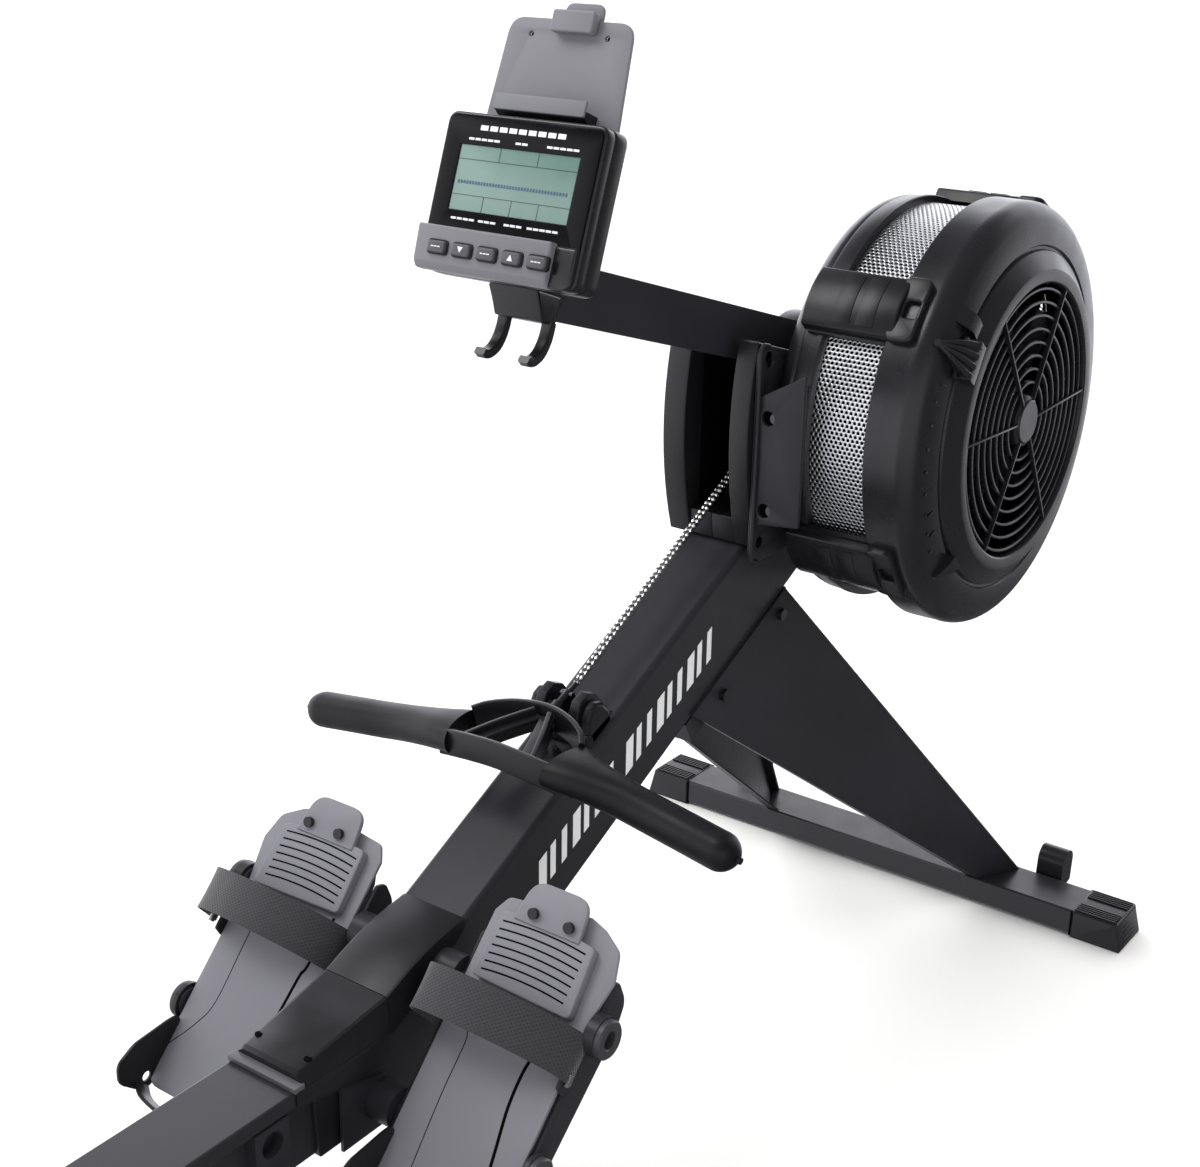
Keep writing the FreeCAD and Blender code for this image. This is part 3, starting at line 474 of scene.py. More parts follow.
# --- CAD nodes that keep their own shape ----------------------------------------------------
def paint(material, *names):
    """Gives CAD nodes a procedural material."""
    for name in names:
        slots = frame["nodes"][name].material_slots
        for slot in slots:
            slot.material = material


def painted_nodes():
    paint(STEEL, "main_beam", "left_leg", "right_leg", "rail_spine", "rear_post", "rear_bar")
    paint(STEEL, "rail_tab", "monitor_arm", "foot_tubes")
    paint(RAIL, "rail")
    paint(BAR, "front_bar")
    paint(BLACK, "rail_end_cap", "wheel_brackets", "rear_bar_caps", "idler_pulley", "seat_carriage")
    paint(BLACK, "front_seat_rollers", "rear_seat_rollers", "chain_sprocket", "flywheel")
    paint(RUBBER, "transport_wheel_left", "transport_wheel_right")
    paint(ZINC, "fan_axle", "fan_bearings", "fasteners")
    paint(WEB, "return_cord")


# --- Fan ------------------------------------------------------------------------------------
def fan_shells():
    """The shells: deep rounded drums, the right one with a raised ring round the intake."""
    rim = [(197.6, -157), (208.4, -157), (210, -158.6), (210, -172)]
    shoulder = arc((188, -190), 22, 8, -82, 14)
    face = [(187, -213.2), (170.5, -214.4), (168.8, -212.2), (166.2, -212.2)]
    ring = [
        (165.8, -213.6), (165.0, -215.6), (148.8, -226.4), (146.6, -226.8), (137.4, -226.4),
        (136.0, -225.6), (135.2, -223.0)]
    inside = [
        (134.4, -212), (140, -211.5), (184, -209), (202, -198), (205.5, -188), (205.5, -166), (197.6, -164)]
    profile = rim + shoulder + face + ring + inside
    right = lathe(profile, FAN_FRAME, 224)
    piece(
        "fan_shell_right_skin", joined([right] + grille_parts()), SHELL, nodes=["fan_shell_right"],
        smooth=22)
    left_profile = [(24, -50.8), (150, -50.8), (168, -51.5)] + arc((181, -73), 22, 100, 10, 10) + [
        (202.2, -72), (203, -74), (203, -86), (204.6, -87), (204.6, -91.2), (203.8, -92), (197.6, -92),
        (197.6, -86), (199, -84), (199, -74), (180, -55), (24, -55)]
    piece(
        "fan_shell_left_skin", lathe(left_profile, FAN_FRAME, 224), SHELL, nodes=["fan_shell_left"],
        smooth=24)
    # Painted shade: a dark back disc, core and ring inside the fan, where only shade shows through the
    # screen.
    back = lathe([(6, -96), (196.2, -96), (196.2, -94), (6, -94)], FAN_FRAME, 96)
    core = lathe([(26, -96), (26, -198), (24, -198), (24, -96)], FAN_FRAME, 48)
    screen = lathe([(186, -98), (186, -205), (184, -205), (184, -98)], FAN_FRAME, 96)
    piece("fan_inner_shade", joined([back, core, opened(screen)]), PAINTED_SHADE)
    track_marks()


def opened(mesh):
    """The dark lining, painted shade inside the fan behind the screen, with two windows cut in it, above and
    below, so that the screen's holes show there.
    """
    tidy = bmesh.new()
    tidy.from_mesh(mesh)
    gone = []
    for face in tidy.faces:
        centre = face.calc_center_median() - FAN
        turn = math.degrees(math.atan2(centre.z, centre.x))
        if 19 < turn < 30 or -66 < turn < -55:
            gone.append(face)
    bmesh.ops.delete(tidy, geom=gone, context="FACES")
    tidy.to_mesh(mesh)
    tidy.free()
    return mesh


def track_marks():
    """Eight small raised dashes and three longer ones beside the damper's track."""
    marks = []
    for step in range(8):
        marks.append(
            block((190.0, -213.4, -1.4), (192.4, -212.0, 1.4), turned_up(163 + 6.5 * step), 0.6, 0.2))
    for angle in (158, 196, 203):
        marks.append(block((180, -214.8, -0.5), (190, -213.0, 0.5), turned_up(angle), 0.3, 0.15))
    piece("damper_track_marks", joined(marks), SHELL)


def turned_up(degrees):
    """The fan's axes, turned so that +X points up by degrees."""
    return FAN_FRAME @ Matrix.Rotation(-math.radians(degrees), 4, "Y")


def grille_parts():
    """The grille's rings, spokes and hub cap, and the damper's two stops and its seat."""
    parts = []
    for step in range(1, 9):
        radius = 25.6 + 13 * step
        section = [(radius + u, -221.0 + v) for u, v in oval(3.2, 4.4, 3.2, 12)]
        parts.append(lathe(section, FAN_FRAME, 128))
    for angle in (2, 62, 124, 178, 238, 300):
        parts.append(block((22, -225.6, -1.0), (136, -220.2, 1.0), turned_up(angle), 0.5, 0.3))
    cap = [
        (0.01, -226.4), (20.4, -226.4), (21.4, -225.8), (22.0, -224.2), (24.0, -223.8), (25.6, -222.5),
        (25.6, -203), (16.1, -203), (16.1, -217), (0.01, -217)]
    parts.append(lathe(cap, FAN_FRAME, 64))
    stop = loft(
        [(166, -212, -222, -8.5, 7), (178, -211, -223, -8.5, 7), (186, -209, -221, -9, 8),
        (199, -204, -207.5, -8, 7)], turned_up(138.5))
    parts.append(stop)
    wedge = loft(
        [(168, -212, -223, -7, 12), (180, -212, -221, -8, 6), (196, -208, -214, -8, -5)], turned_up(220))
    parts.append(wedge)
    parts.append(block((152, -228.2, -20), (168, -214, 18), turned_up(DAMPER_ANGLE), 1.5, 0.9))
    return parts


def loft(stations, place):
    """A tapering block from stations outwards: (radius, low y, high y, and its two sides)."""
    rings = []
    for radius, low, high, near, far in stations:
        rings.append([(radius, low, near), (radius, low, far), (radius, high, far), (radius, high, near)])
    return skinned(rings, place)


def perforated_band():
    """The outlet screen: staggered round holes in a sheet rolled into a ring, with plain margins."""
    radius = 197.2
    pitch = 4.9
    columns = 12
    rows = 292
    hole = 1.5
    start = -94.9
    cell = []
    for corner in range(12):
        turn = math.radians(30 * corner)
        reach = pitch / math.sqrt(3) if corner % 2 else pitch / 2
        cell.append(
            (reach * math.cos(turn), reach * math.sin(turn), hole * math.cos(turn), hole * math.sin(turn)))
    points, faces = [], []
    for row in range(rows):
        angle = 2 * math.pi * row / rows
        for column in range(columns):
            y = start - pitch * (column + 0.5 * (row % 2))
            base = len(points)
            for edge_y, edge_s, hole_y, hole_s in cell:
                for across, along in ((edge_y, edge_s), (hole_y, hole_s)):
                    spin = angle + along / radius
                    points.append((radius * math.cos(spin), y + across, radius * math.sin(spin)))
            for corner in range(12):
                here, after = base + 2 * corner, base + 2 * ((corner + 1) % 12)
                faces.append((here, after, after + 1, here + 1))
    sheet = from_faces(points, faces, FAN_FRAME, merge=0.1)
    band = piece(
        "perforated_screen", sheet, SILVER, "frame", ["perforated_band"], smooth=40)
    thickness = band.modifiers.new("sheet", "SOLIDIFY")
    thickness.thickness = 0.0008
    thickness.offset = -1
    margins = []
    for low, high in ((-94.2, -92.0), (-157.0, -153.6)):
        margins.append(lathe([(197.3, low), (197.3, high), (196.4, high), (196.4, low)], FAN_FRAME, 224))
    piece("screen_margins", joined(margins), SILVER, "frame")


def shell_clips():
    """Five clips across the band: a curved bridge, a notched left end and a screw pocket on the right, its
    recess drawn as painted shade.
    """
    parts, pocket_shades, screws = [], [], []
    for angle in CLIP_ANGLES:
        place = turned_up(angle)
        saddle = [(203, -31)] + arc((150, 0), 71, -25, 25, 10) + [(203, 31)]
        outline = rounded(saddle, [2, 3] + [0] * 9 + [3, 2])
        parts.append(plate(outline, (-166, -71), "xz", place, edge=2.2))
        parts.append(
            plate([(201.5, -33), (206.5, -33), (206.5, 33), (201.5, 33)], (-162, -76), "xz", place, edge=1))
        end = plate(
            rounded(rectangle((-186, -32.5), (-158, 32.5)), 9), (203, 216.4), "yz", place,
            holes=[rounded(rectangle((-182, -8.5), (-168, 8.5)), 3.5)], edge=2.6)
        parts.append(end)
        for y in (-112, -136):
            parts.append(
                plate(arc((150, 0), 71.7, -20, 20, 10) + [(205, 22), (205, -22)], (y - 9, y + 9), "xz",
                place, edge=0.5))
        # Painted shade: dark blocks in each clip's screw pocket and at its end, and a dark slot on the last
        # clip.
        pocket_shades.append(block((204, -183, -10), (206.5, -167, 10), place, 1, 0.4))
        pocket_shades.append(block((213.6, -76, 4), (216.4, -70.5, 19), place, 1, 0.4))
        screws.append(rod((206, -175.0, 0), (210, -175.0, 0), 3.4, place))
    slot = rounded(rectangle((-150, -19), (-92, -9)), 4)
    pocket_shades.append(plate(slot, (219.4, 220.6), "yz", turned_up(CLIP_ANGLES[-1]), edge=0.3))
    piece("shell_clip_set", joined(parts), BLACK, nodes=["shell_clips"], smooth=28)
    piece("shell_clip_pocket_shades", joined(pocket_shades), PAINTED_SHADE)
    piece("shell_clip_screws", joined(screws), ZINC, "frame")


def damper_lever():
    """A ridged wedge that points outwards and rises towards the raised ring."""
    place = turned_up(DAMPER_ANGLE)
    body = loft(
        [(169, -215, -229.4, -16, 16), (184, -214.6, -223.6, -11.5, 11.5), (197, -211, -216.0, -5.5, 5.5),
        (206, -205.5, -208, -3, 3)], place)
    shoe = plate(
        arc((0, 0), 178, -6.5, 6.5, 8) + arc((0, 0), 167.4, 6.5, -6.5, 8), (-219, -214.8), "xz", place,
        edge=0.6)
    ridges = []
    for end, start in ((-15.2, -1.6), (-5.0, -0.6), (5.0, 0.6), (15.2, 1.6)):
        path = smooth_path(
            [(207, -208.0, start), (198, -215.8, end * 0.40), (184, -223.8, end * 0.75),
            (168.4, -229.6, end)], 4)
        scales = [(0.45 + 0.75 * index / len(path), 1.0) for index in range(len(path))]
        ridges.append(sweep(path, oval(6.4, 4.4, 2.4, 14), place, Vector((0, -1, 0)), scales=scales))
    for side in (-15.5, 15.5):
        ridges.append(block((166.5, -231.4, side - 3), (172.5, -216, side + 3), place, 0.8, 0.5))
    nose = rod((203.5, -206.2, 0), (208.5, -207, 0), 3.4, place)
    piece(
        "damper_thumb", joined([body, nose, shoe] + ridges), SHELL, "damper",
        ["damper_lever"])


# --- Chain housing and bracket --------------------------------------------------------------
def housing_outline():
    """The side of the chain housing, in the machine's (x, z)."""
    back = []
    for step in range(13):
        share = step / 12
        x = 694 * (1 - share) ** 2 + 2 * share * (1 - share) * 661 + 686 * share ** 2
        z = 541 * (1 - share) + 740.0 * share
        back.append((x, z))
    crest = rounded([back[-1], (687.5, 744.5), (694, 742.1)], [0, 6, 0])
    saddle = [(775, 716.8)]
    nose = arc((905, 652.5), 72, 114.5, -90, 24)
    return back[:-1] + crest + saddle + nose


def chain_housing():
    outline = housing_outline()
    left = plate(outline, (25, 50), edge=2.0)
    right = plate(outline, (-46, -25), edge=2.0)
    heel = rounded([(694, 541), (690.5, 566.8), (760, 566.8), (760, 545)], 1.0)
    parts = [left, right, plate(heel, (-25.4, -0.2), edge=0.8), plate(heel, (0.2, 25.4), edge=0.8)]
    piece("chain_housing_halves", joined(parts), BLACK, nodes=["chain_housing"], smooth=28)
    # Painted shade: dark sheets just inside both halves and across the front, where the housing's inside
    # lies in shade.
    inner_shade = []
    for y in (-25.1, 24.7):
        inner_shade.append(
            plate([(706, 567), (880, 567), (880, 700), (775, 706), (706, 728)], (y, y + 0.4), edge=0.1))
    inner_shade.append(plate(rectangle((-25, 567), (25, 690)), (840, 842), "yz", edge=0.2))
    piece("chain_housing_inner_shade", joined(inner_shade), PAINTED_SHADE)


def fan_bracket():
    """The plate beside the housing, with a beaded edge, and the plate that reaches across to the fan."""
    outline = rounded(
        [(684, 525), (868, 525), (868, 712), (775, 716.8), (684, 744.5)], [16, 10, 6, 20, 12], 7)
    holes = [circle((704, 722), 5.5), circle((700, 545), 5.5)]
    parts = [plate(outline, (-50, -46.2), holes=holes, edge=1.2)]
    bead = [(684.8, -50.4, z) for z in (730, 715, 680, 640, 600, 560, 540)]
    bead = [(700, -50.4, 738.6), (690, -50.4, 741), (685.5, -50.4, 737)] + bead + [
        (686.5, -50.4, 530), (696, -50.4, 526.4)]
    parts.append(sweep(smooth_path(bead, 4), oval(4.2, 4.2, 2, 12), up=Vector((0, 1, 0))))
    across = rounded([(-46.2, 566), (-98, 572), (-98, 720), (-46.2, 690)], [9, 2, 2, 9])
    holes = [circle((-60, 582), 7.0), circle((-60, 673), 7.0)]
    parts.append(plate(across, (687.5, 692.5), "yz", holes=holes, edge=0.9))
    piece("fan_bracket_plates", joined(parts), STEEL, "frame", ["fan_bracket"])
    # Painted shade: dark discs just behind the two holes, so that they read as dark.
    bracket_hole_shade = [rod((693.5, -60, z), (696, -60, z), 9) for z in (582, 673)]
    piece("fan_bracket_hole_shades", joined(bracket_hole_shade), PAINTED_SHADE, "frame")


def arm_boss():
    """The pivot's round cap, seen over the arm."""
    cap = [(0.01, 0), (20, 0), (22, 1), (24, 4), (24, 14), (0.01, 14)]
    pivot = local_frame(0, Vector(JOINTS["arm_pivot"]["pos_m"]))
    parts = []
    for y in (-24.8, 10.8):
        parts.append(moved(lathe(cap, Matrix.Identity(4), 48), pivot @ Matrix.Translation((0, y, 0))))
    piece("arm_pivot_washers", joined(parts), BLACK)


# --- Beam, covers and legs ------------------------------------------------------------------
def beam_graphic():
    """A plain band of slanted bars along both sides of the beam, in two groups."""
    parts = []
    for start, count in ((-316, 7), (-170, 9)):
        for index in range(count):
            left = start + 18.5 * index
            width = 8.5 if index % 3 else 12.5
            corners = [(left, -66), (left + width, -66), (left + width + 15, -36), (left + 15, -36)]
            for side in (-1, 1):
                parts.append(plate(corners, sorted((side * 35.36, side * 35.7)), matrix=BEAM, edge=0.05))
    piece("beam_stripes", joined(parts), INK, "frame")


def cover_loft(stations, lip):
    """A cover from cross-sections along X: (x, top z, half width of the top, side z, half width below)."""
    rings = []
    for x, top, half, side, wide in stations:
        ring = [
            (-wide, side), (-wide, side + lip), (-half - 1.2, top - 1.0), (-half + 1.5, top),
            (half - 1.5, top), (half + 1.2, top - 1.0), (wide, side + lip), (wide, side)]
        rings.append([(x, y, z) for y, z in ring])
    return skinned(rings)


def covers():
    """The two plastic covers over the joint between beam and rail, with their sills and side skirts."""
    upper = []
    for step in range(13):
        share = step / 12
        x = 176.8 + (274 - 176.8) * share
        top = 297 + 27 * share + 5 * math.sin(math.pi * share)
        side = 262 + 58 * share - 6 * math.sin(math.pi * share)
        upper.append((x, top, 33.0 - 0.4 * share, min(side, top - 2.5), 37.0))
    piece("upper_joint_cover", cover_loft(upper, 0.6), BLACK, nodes=["upper_cover"], smooth=28)
    lower = []
    for x, top, half, side in (
            (77, 276.2, 29.0, 268.4), (80, 279.4, 28.8, 268.2), (100, 283.4, 29.6, 267.6),
            (140, 290.4, 31.6, 264.0), (176.2, 296.8, 33.0, 262.0)):
        lower.append((x, top, half, side, 37.4))
    piece("lower_joint_cover", cover_loft(lower, 1.2), BLACK, nodes=["lower_cover"], smooth=20)
    # Painted shade: dark rods standing in the two screw wells.
    screws = [rod((93, y, 276), (93, y, 282.4), 3.3) for y in (-27, 27)]
    piece("cover_screw_well_shade", joined(screws), PAINTED_SHADE, "frame")
    sill = block((68, -37.6, 266.8), (79, 37.6, 271.6), radius=1.5, edge=0.8, plane="xy")
    piece("lower_cover_sill", sill, SILL)
    skirts = []
    for side in (-1, 1):
        span = sorted((side * 36.0, side * 37.8))
        skirt = rounded([(70, 254), (176, 230), (176, 266), (70, 268)], [2, 6, 1, 1])
        skirts.append(plate(skirt, span, edge=0.7))
    gusset = plate(rounded([(98, 187), (130, 187), (150, 262), (92, 262)], 3), (-31, 31), edge=1)
    piece("joint_skirts", joined(skirts + [gusset]), BLACK)


def bar_caps():
    """Boots on the front bar, with two groups of ribs along the top and a framed end face."""
    centre, half, top = 1115, 31.5, 34.2
    parts, marks = [], []
    for side in (-1, 1):
        place = mirrored(WORLD) if side < 0 else WORLD
        parts.append(
            plate(rounded([(267, 0), (328, 0), (319, top), (267, top)], [1, 3, 2, 1]),
            (centre - half, centre + half), "yz", place, edge=1.8))
        for row in range(5):
            for group in (-1, 1):
                x = centre + group * (10 + 4.2 * row)
                parts.append(
                    block((x - 1.0, 269, top - 1), (x + 1.0, 317.5, top + 1.8), place, 0.7, 0.5, "xy"))
        for level in range(4):
            z = 6 + 5.6 * level
            reach = 20 - 3.6 * level
            y = 328 - 9 * z / top
            parts.append(
                block((centre - reach, y - 2, z - 0.8), (centre + reach, y + 0.9, z + 0.8), place, 0.5,
                0.4))
        # Painted shade: a dark strip at the inner end of each boot, where its gap to the bar is.
        marks.append(
            block((centre - half - 0.3, 265.4, 2), (centre + half + 0.3, 267.2, top - 0.8), place, 1, 0.3))
    piece("front_boots", joined(parts), BLACK, nodes=["front_bar_caps"])
    piece("front_boot_gap_shade", joined(marks), PAINTED_SHADE)


# --- Foot rests -----------------------------------------------------------------------------
def foot_base(side, place):
    """The fixed base: a deep dark tray under the sliding sheet, curved at its top corners."""
    wall = rounded(
        [(-240, -24), (-60, -40), (-34, -34), (-24, -12), (-30, -3.0), (-210, -3.0), (-247, -6)],
        [6, 20, 18, 10, 3, 6, 4], 8)
    parts = [
        plate(wall, (-192, -188), matrix=place, edge=1.2), plate(wall, (-62, -58), matrix=place, edge=1.2)]
    tray = rounded([(-246, -188), (-6, -188), (-6, -62), (-246, -62)], [4, 36, 36, 4])
    parts.append(plate(tray, (-5.4, -2.6), "xy", place, edge=0.8))
    parts.append(
        plate(rounded([(-124, -4), (-72, -4), (-76, 9), (-120, 9)], 3), (-192, -189), matrix=place,
        edge=0.8))
    piece("foot_tray_" + side, joined(parts), STEEL, "frame", ["foot_base_" + side])


def foot_plate(side, place):
    """The sliding plate: sheet, toe pad, tongue and pegs, and the wings of its heel cup."""
    body = "foot_plate_" + side
    sheet = rounded(
        [(-262, -187), (-70, -188), (-28, -195), (-4, -188), (8, -168), (13, -152), (4, -72), (-10, -64),
        (-262, -64)], [14, 30, 10, 12, 8, 4, 8, 6, 14], 6)
    parts = [plate(sheet, (-2.0, 1.6), "xy", place, edge=0.9)]
    pad = rounded([(-69, -176), (-10, -172), (-4, -124), (-8, -78), (-66, -75)], [5, 6, 40, 6, 5])
    parts.append(plate(pad, (0.5, 11.0), "xy", place, edge=1.3))
    tongue = rounded([(-12, -157), (24, -152), (24, -95), (-12, -90)], [2, 17, 17, 2], 8)
    parts.append(plate(tongue, (7.5, 12.6), "xy", place, edge=1.2))
    piece("foot_sheet_" + side, joined(parts), GREY, body, [body], smooth=30)
    # Painted shade: dark strips on the toe pad and down the sheet where its grooves are.
    lines = [toe_groove_shade(-17 - 7.0 * row, place) for row in range(7)]
    piece("foot_seam_shades_" + side, joined(lines + foot_seam_shades(side, place)), PAINTED_SHADE, body)
    pegs = []
    for y in (-144.5, -108.5):
        pegs.append(rod((-1, y, 11), (-2.6, y, 15), 3.0, place))
        pegs.append(rod((-2.4, y, 14.0), (-4.0, y, 17.4), 4.7, place))
    wing = rounded(
        [(-190, 0.5), (-236, 40), (-258, 47), (-272, 34), (-270, 4), (-262, -3)], [10, 22, 12, 14, 6, 2], 8)
    for y in (-187.5, -68):
        pegs.append(plate(wing, (y, y + 3.5), matrix=place, holes=[circle((-257, 7), 4.6, 20)], edge=0.9))
    cup = smooth_path(
        [(-264, -186, 8), (-274, -170, 8), (-279, -126, 8), (-274, -82, 8), (-264, -66, 8)], 5)
    pegs.append(sweep(cup, rounded(rectangle((-1.6, -9), (1.6, 9)), 1.2, 3), place, Vector((0, 0, 1))))
    piece("foot_pegs_" + side, joined(pegs), BLACK, body)


def toe_groove_shade(x, place):
    """One fine, slightly bowed dark strip across the toe pad: painted shade where a groove would be."""
    path = []
    for step in range(11):
        share = step / 10 * 2 - 1
        path.append((x + 2.6 * (1 - share * share), -124 + 42 * share, 11.0))
    return sweep(path, oval(1.5, 0.5, 2, 8), place)


def foot_seam_shades(side, place):
    """Dark strips for a deep groove and a fine one down the sheet, with their own course on each foot rest:
    painted shade laid on the surface in place of cut grooves.
    """
    if side == "right":
        deep = [
            (-70, -158, 1.6), (-104, -155, 1.6), (-122, -153, 1.6), (-149, -154, 1.6), (-184, -160, 1.6),
            (-255, -172, 1.6)]
        fine = [(-72, -84, 1.6), (-104, -88, 1.6), (-117, -92.5, 1.6), (-164, -93, 1.6), (-252, -98, 1.6)]
    else:
        deep = [(-70, -82, 1.6), (-115, -85, 1.6), (-126, -88, 1.6), (-159, -90, 1.6), (-250, -96, 1.6)]
        fine = [(-72, -160, 1.6), (-123, -159, 1.6), (-176, -158, 1.6), (-200, -167, 1.6), (-226, -185, 1.6)]
    return [
        sweep(smooth_path(deep), oval(3.0, 0.7, 2, 10), place),
        sweep(smooth_path(fine), oval(0.9, 0.5, 2, 8), place)]


def foot_strap(side, place):
    """Woven webbing over the foot. Both straps bulge to the rower's left before they turn under."""
    if side == "left":
        path = [
            (-60, -3), (-62, 8), (-76, 22), (-98, 33), (-130, 39.5), (-165, 37.5), (-196, 28), (-211, 19),
            (-214.5, 12), (-209, 9.2), (-200, 10.0), (-192.6, 10.6)]
    else:
        path = [
            (-57.5, 1), (-49, 7), (-44.5, 17), (-47, 28), (-58, 37), (-82, 43), (-114, 44), (-146, 38),
            (-170, 28), (-186, 16), (-193.4, 6), (-193.6, -4)]
    route = smooth_path([(-95, y, z) for y, z in path], 5)
    half, thick = 19.5, 1.4
    points, faces, coordinates = [], [], []
    columns = 9
    length = 0.0
    for index, here in enumerate(route):
        ahead = route[min(index + 1, len(route) - 1)] - route[max(index - 1, 0)]
        ahead.normalize()
        above = Vector((0, -ahead.z, ahead.y))
        length += (here - route[index - 1]).length if index else 0
        slide = 5 * math.sin(math.pi * index / len(route))
        for layer in (-1, 1):
            for column in range(columns):
                share = column / (columns - 1) * 2 - 1
                crown = 0.6 * (1 - share * share)
                offset = above * (layer * thick / 2 + crown)
                points.append(here + Vector((slide + share * half, 0, 0)) + offset)
                coordinates.append((length * MM, share * half * MM))
    ring = columns * 2
    for index in range(len(route) - 1):
        for layer in (0, columns):
            for column in range(columns - 1):
                a = index * ring + layer + column
                faces.append((a, a + 1, a + ring + 1, a + ring))
        for column in (0, columns - 1):
            a = index * ring + column
            faces.append((a, a + columns, a + ring + columns, a + ring))
    for start in (0, (len(route) - 1) * ring):
        for column in range(columns - 1):
            a = start + column
            faces.append((a, a + 1, a + columns + 1, a + columns))
    mesh = bpy.data.meshes.new("strap")
    mesh.from_pydata([tuple(point) for point in points], [], faces)
    layer = mesh.uv_layers.new(name="UVMap")
    for loop in mesh.loops:
        layer.data[loop.index].uv = coordinates[loop.vertex_index]
    moved(cleaned(mesh), place)
    strap = piece("strap_" + side, mesh, WEB, "frame", ["foot_strap_" + side], smooth=50)
    reach = 193.6 if side == "right" else 194.2
    lift = -1 if side == "right" else 10
    buckle = [
        block((-116, -reach - 1.4, lift), (-106, -reach + 0.2, lift + 6), place, 1.2, 0.5),
        rod((-116, -reach - 1.6, lift + 5), (-106, -reach - 1.6, lift + 5), 1.2, place)]
    buckle_piece = piece("strap_buckle_" + side, joined(buckle), NICKEL, "frame")


def foot_rests():
    for side, place in (("right", FOOT), ("left", mirrored(FOOT))):
        foot_base(side, place)
        foot_plate(side, place)
        foot_strap(side, place)
    bosses, hole_shades = [], []
    for along, reach in ((-69.5, 202), (-185.8, 196)):
        for place in (FOOT, mirrored(FOOT)):
            spot = place @ Matrix.Translation((along, 0, -8))
            rings = [
                (7.5, -reach + 2), (7.5, -reach - 5), (8.5, -reach - 6), (15.0, -reach - 6),
                (16.4, -reach - 4.6), (16.4, -reach), (13.5, -reach + 1), (13.5, -190), (7.5, -190)]
            bosses.append(moved(lathe(rings, Matrix.Identity(4), 48), spot))
            # Painted shade: a dark disc inside each boss's hole.
            shade_disc = [(0.01, -reach + 1), (7.8, -reach + 1), (7.8, -reach + 3), (0.01, -reach + 3)]
            hole_shades.append(moved(lathe(shade_disc, Matrix.Identity(4), 32), spot))
    piece("foot_bosses", joined(bosses), BOSS, "frame")
    piece("foot_boss_hole_shades", joined(hole_shades), PAINTED_SHADE, "frame")


# --- Handle, cradle and chain ---------------------------------------------------------------
def handle():
    """Rubber grips that flare into flat collars, and the flat-bar loop between them."""
    for side, place in (("left", WORLD), ("right", mirrored(WORLD))):
        path = smooth_path(
            [(382, 57, 430.0), (380.5, 68, 429), (379.5, 82, 427), (379.5, 112, 422), (379.5, 148, 416),
            (377.5, 185, 411.5), (375.6, 214, 408), (374.9, 226, 406.8), (374.5, 234, 405.9),
            (374.2, 237.6, 405.5)], 4)
        scales = []
        for point in path:
            y = point.y
            wide = tall = 33.0
            if y < 134:
                share = (134 - y) / 77
                wide = 33 + 30 * share ** 1.7
                tall = 33 - 1.5 * share
            if y > 220:
                wide = tall = 33 * math.sqrt(max(0.02, 1 - ((y - 220) / 17.9) ** 2))
            scales.append((wide / 33, tall / 33))
        grip = sweep(path, oval(33, 33, 2.3, 32), place, scales=scales)
        nub = rod((374.3, 236.4, 405.6), (374.1, 241.0, 405.1), 3.0, place)
        piece(
            "grip_" + side, joined([grip, nub]), RUBBER, "handle", ["handle_grip_" + side],
            smooth=60)
    parts = [
        flat_bar([(361, -66, 427), (358.2, -36, 431.5), (357.0, 0, 434.0), (358.2, 36, 431.5),
        (361, 66, 427)], 25)]
    parts.append(
        flat_bar([(401, -60, 436), (412, -50, 439.5), (424, -28, 443), (429.5, 0, 444.5), (424, 28, 443),
        (412, 50, 439.5), (401, 60, 436)], 24))
    for side in (-1, 1):
        parts.append(flat_bar([(360, side * 38, 431), (392, side * 24, 437), (424, side * 8, 442)], 23))
        brace = [(361, side * 31, 436), (392, side * 19, 441), (424, side * 5, 445)]
        parts.append(sweep(smooth_path(brace, 4), rounded(rectangle((-7, -2), (7, 2)), 1.5, 3)))
    piece("handle_loop", joined(parts), BLACK, "handle", ["handle_yoke"], smooth=40)
    swivel = [
        rod((430, 0, 441.5), (447, 0, 449.5), 6), rod((447, 0, 449.5), (462, 0, 456.0), 4.2),
        rod((460, -6.5, 455), (460, 6.5, 455), 3), rod((458, 0, 454.4), (473, 0, 460.6), 2.4)]
    piece("handle_swivel", joined(swivel), ZINC, "handle", ["chain_swivel"])


def flat_bar(points, height):
    """A bent flat bar on edge, through points."""
    section = rounded(rectangle((-2.6, -height / 2), (2.6, height / 2)), 1.6, 3)
    return sweep(smooth_path(points, 5), section)


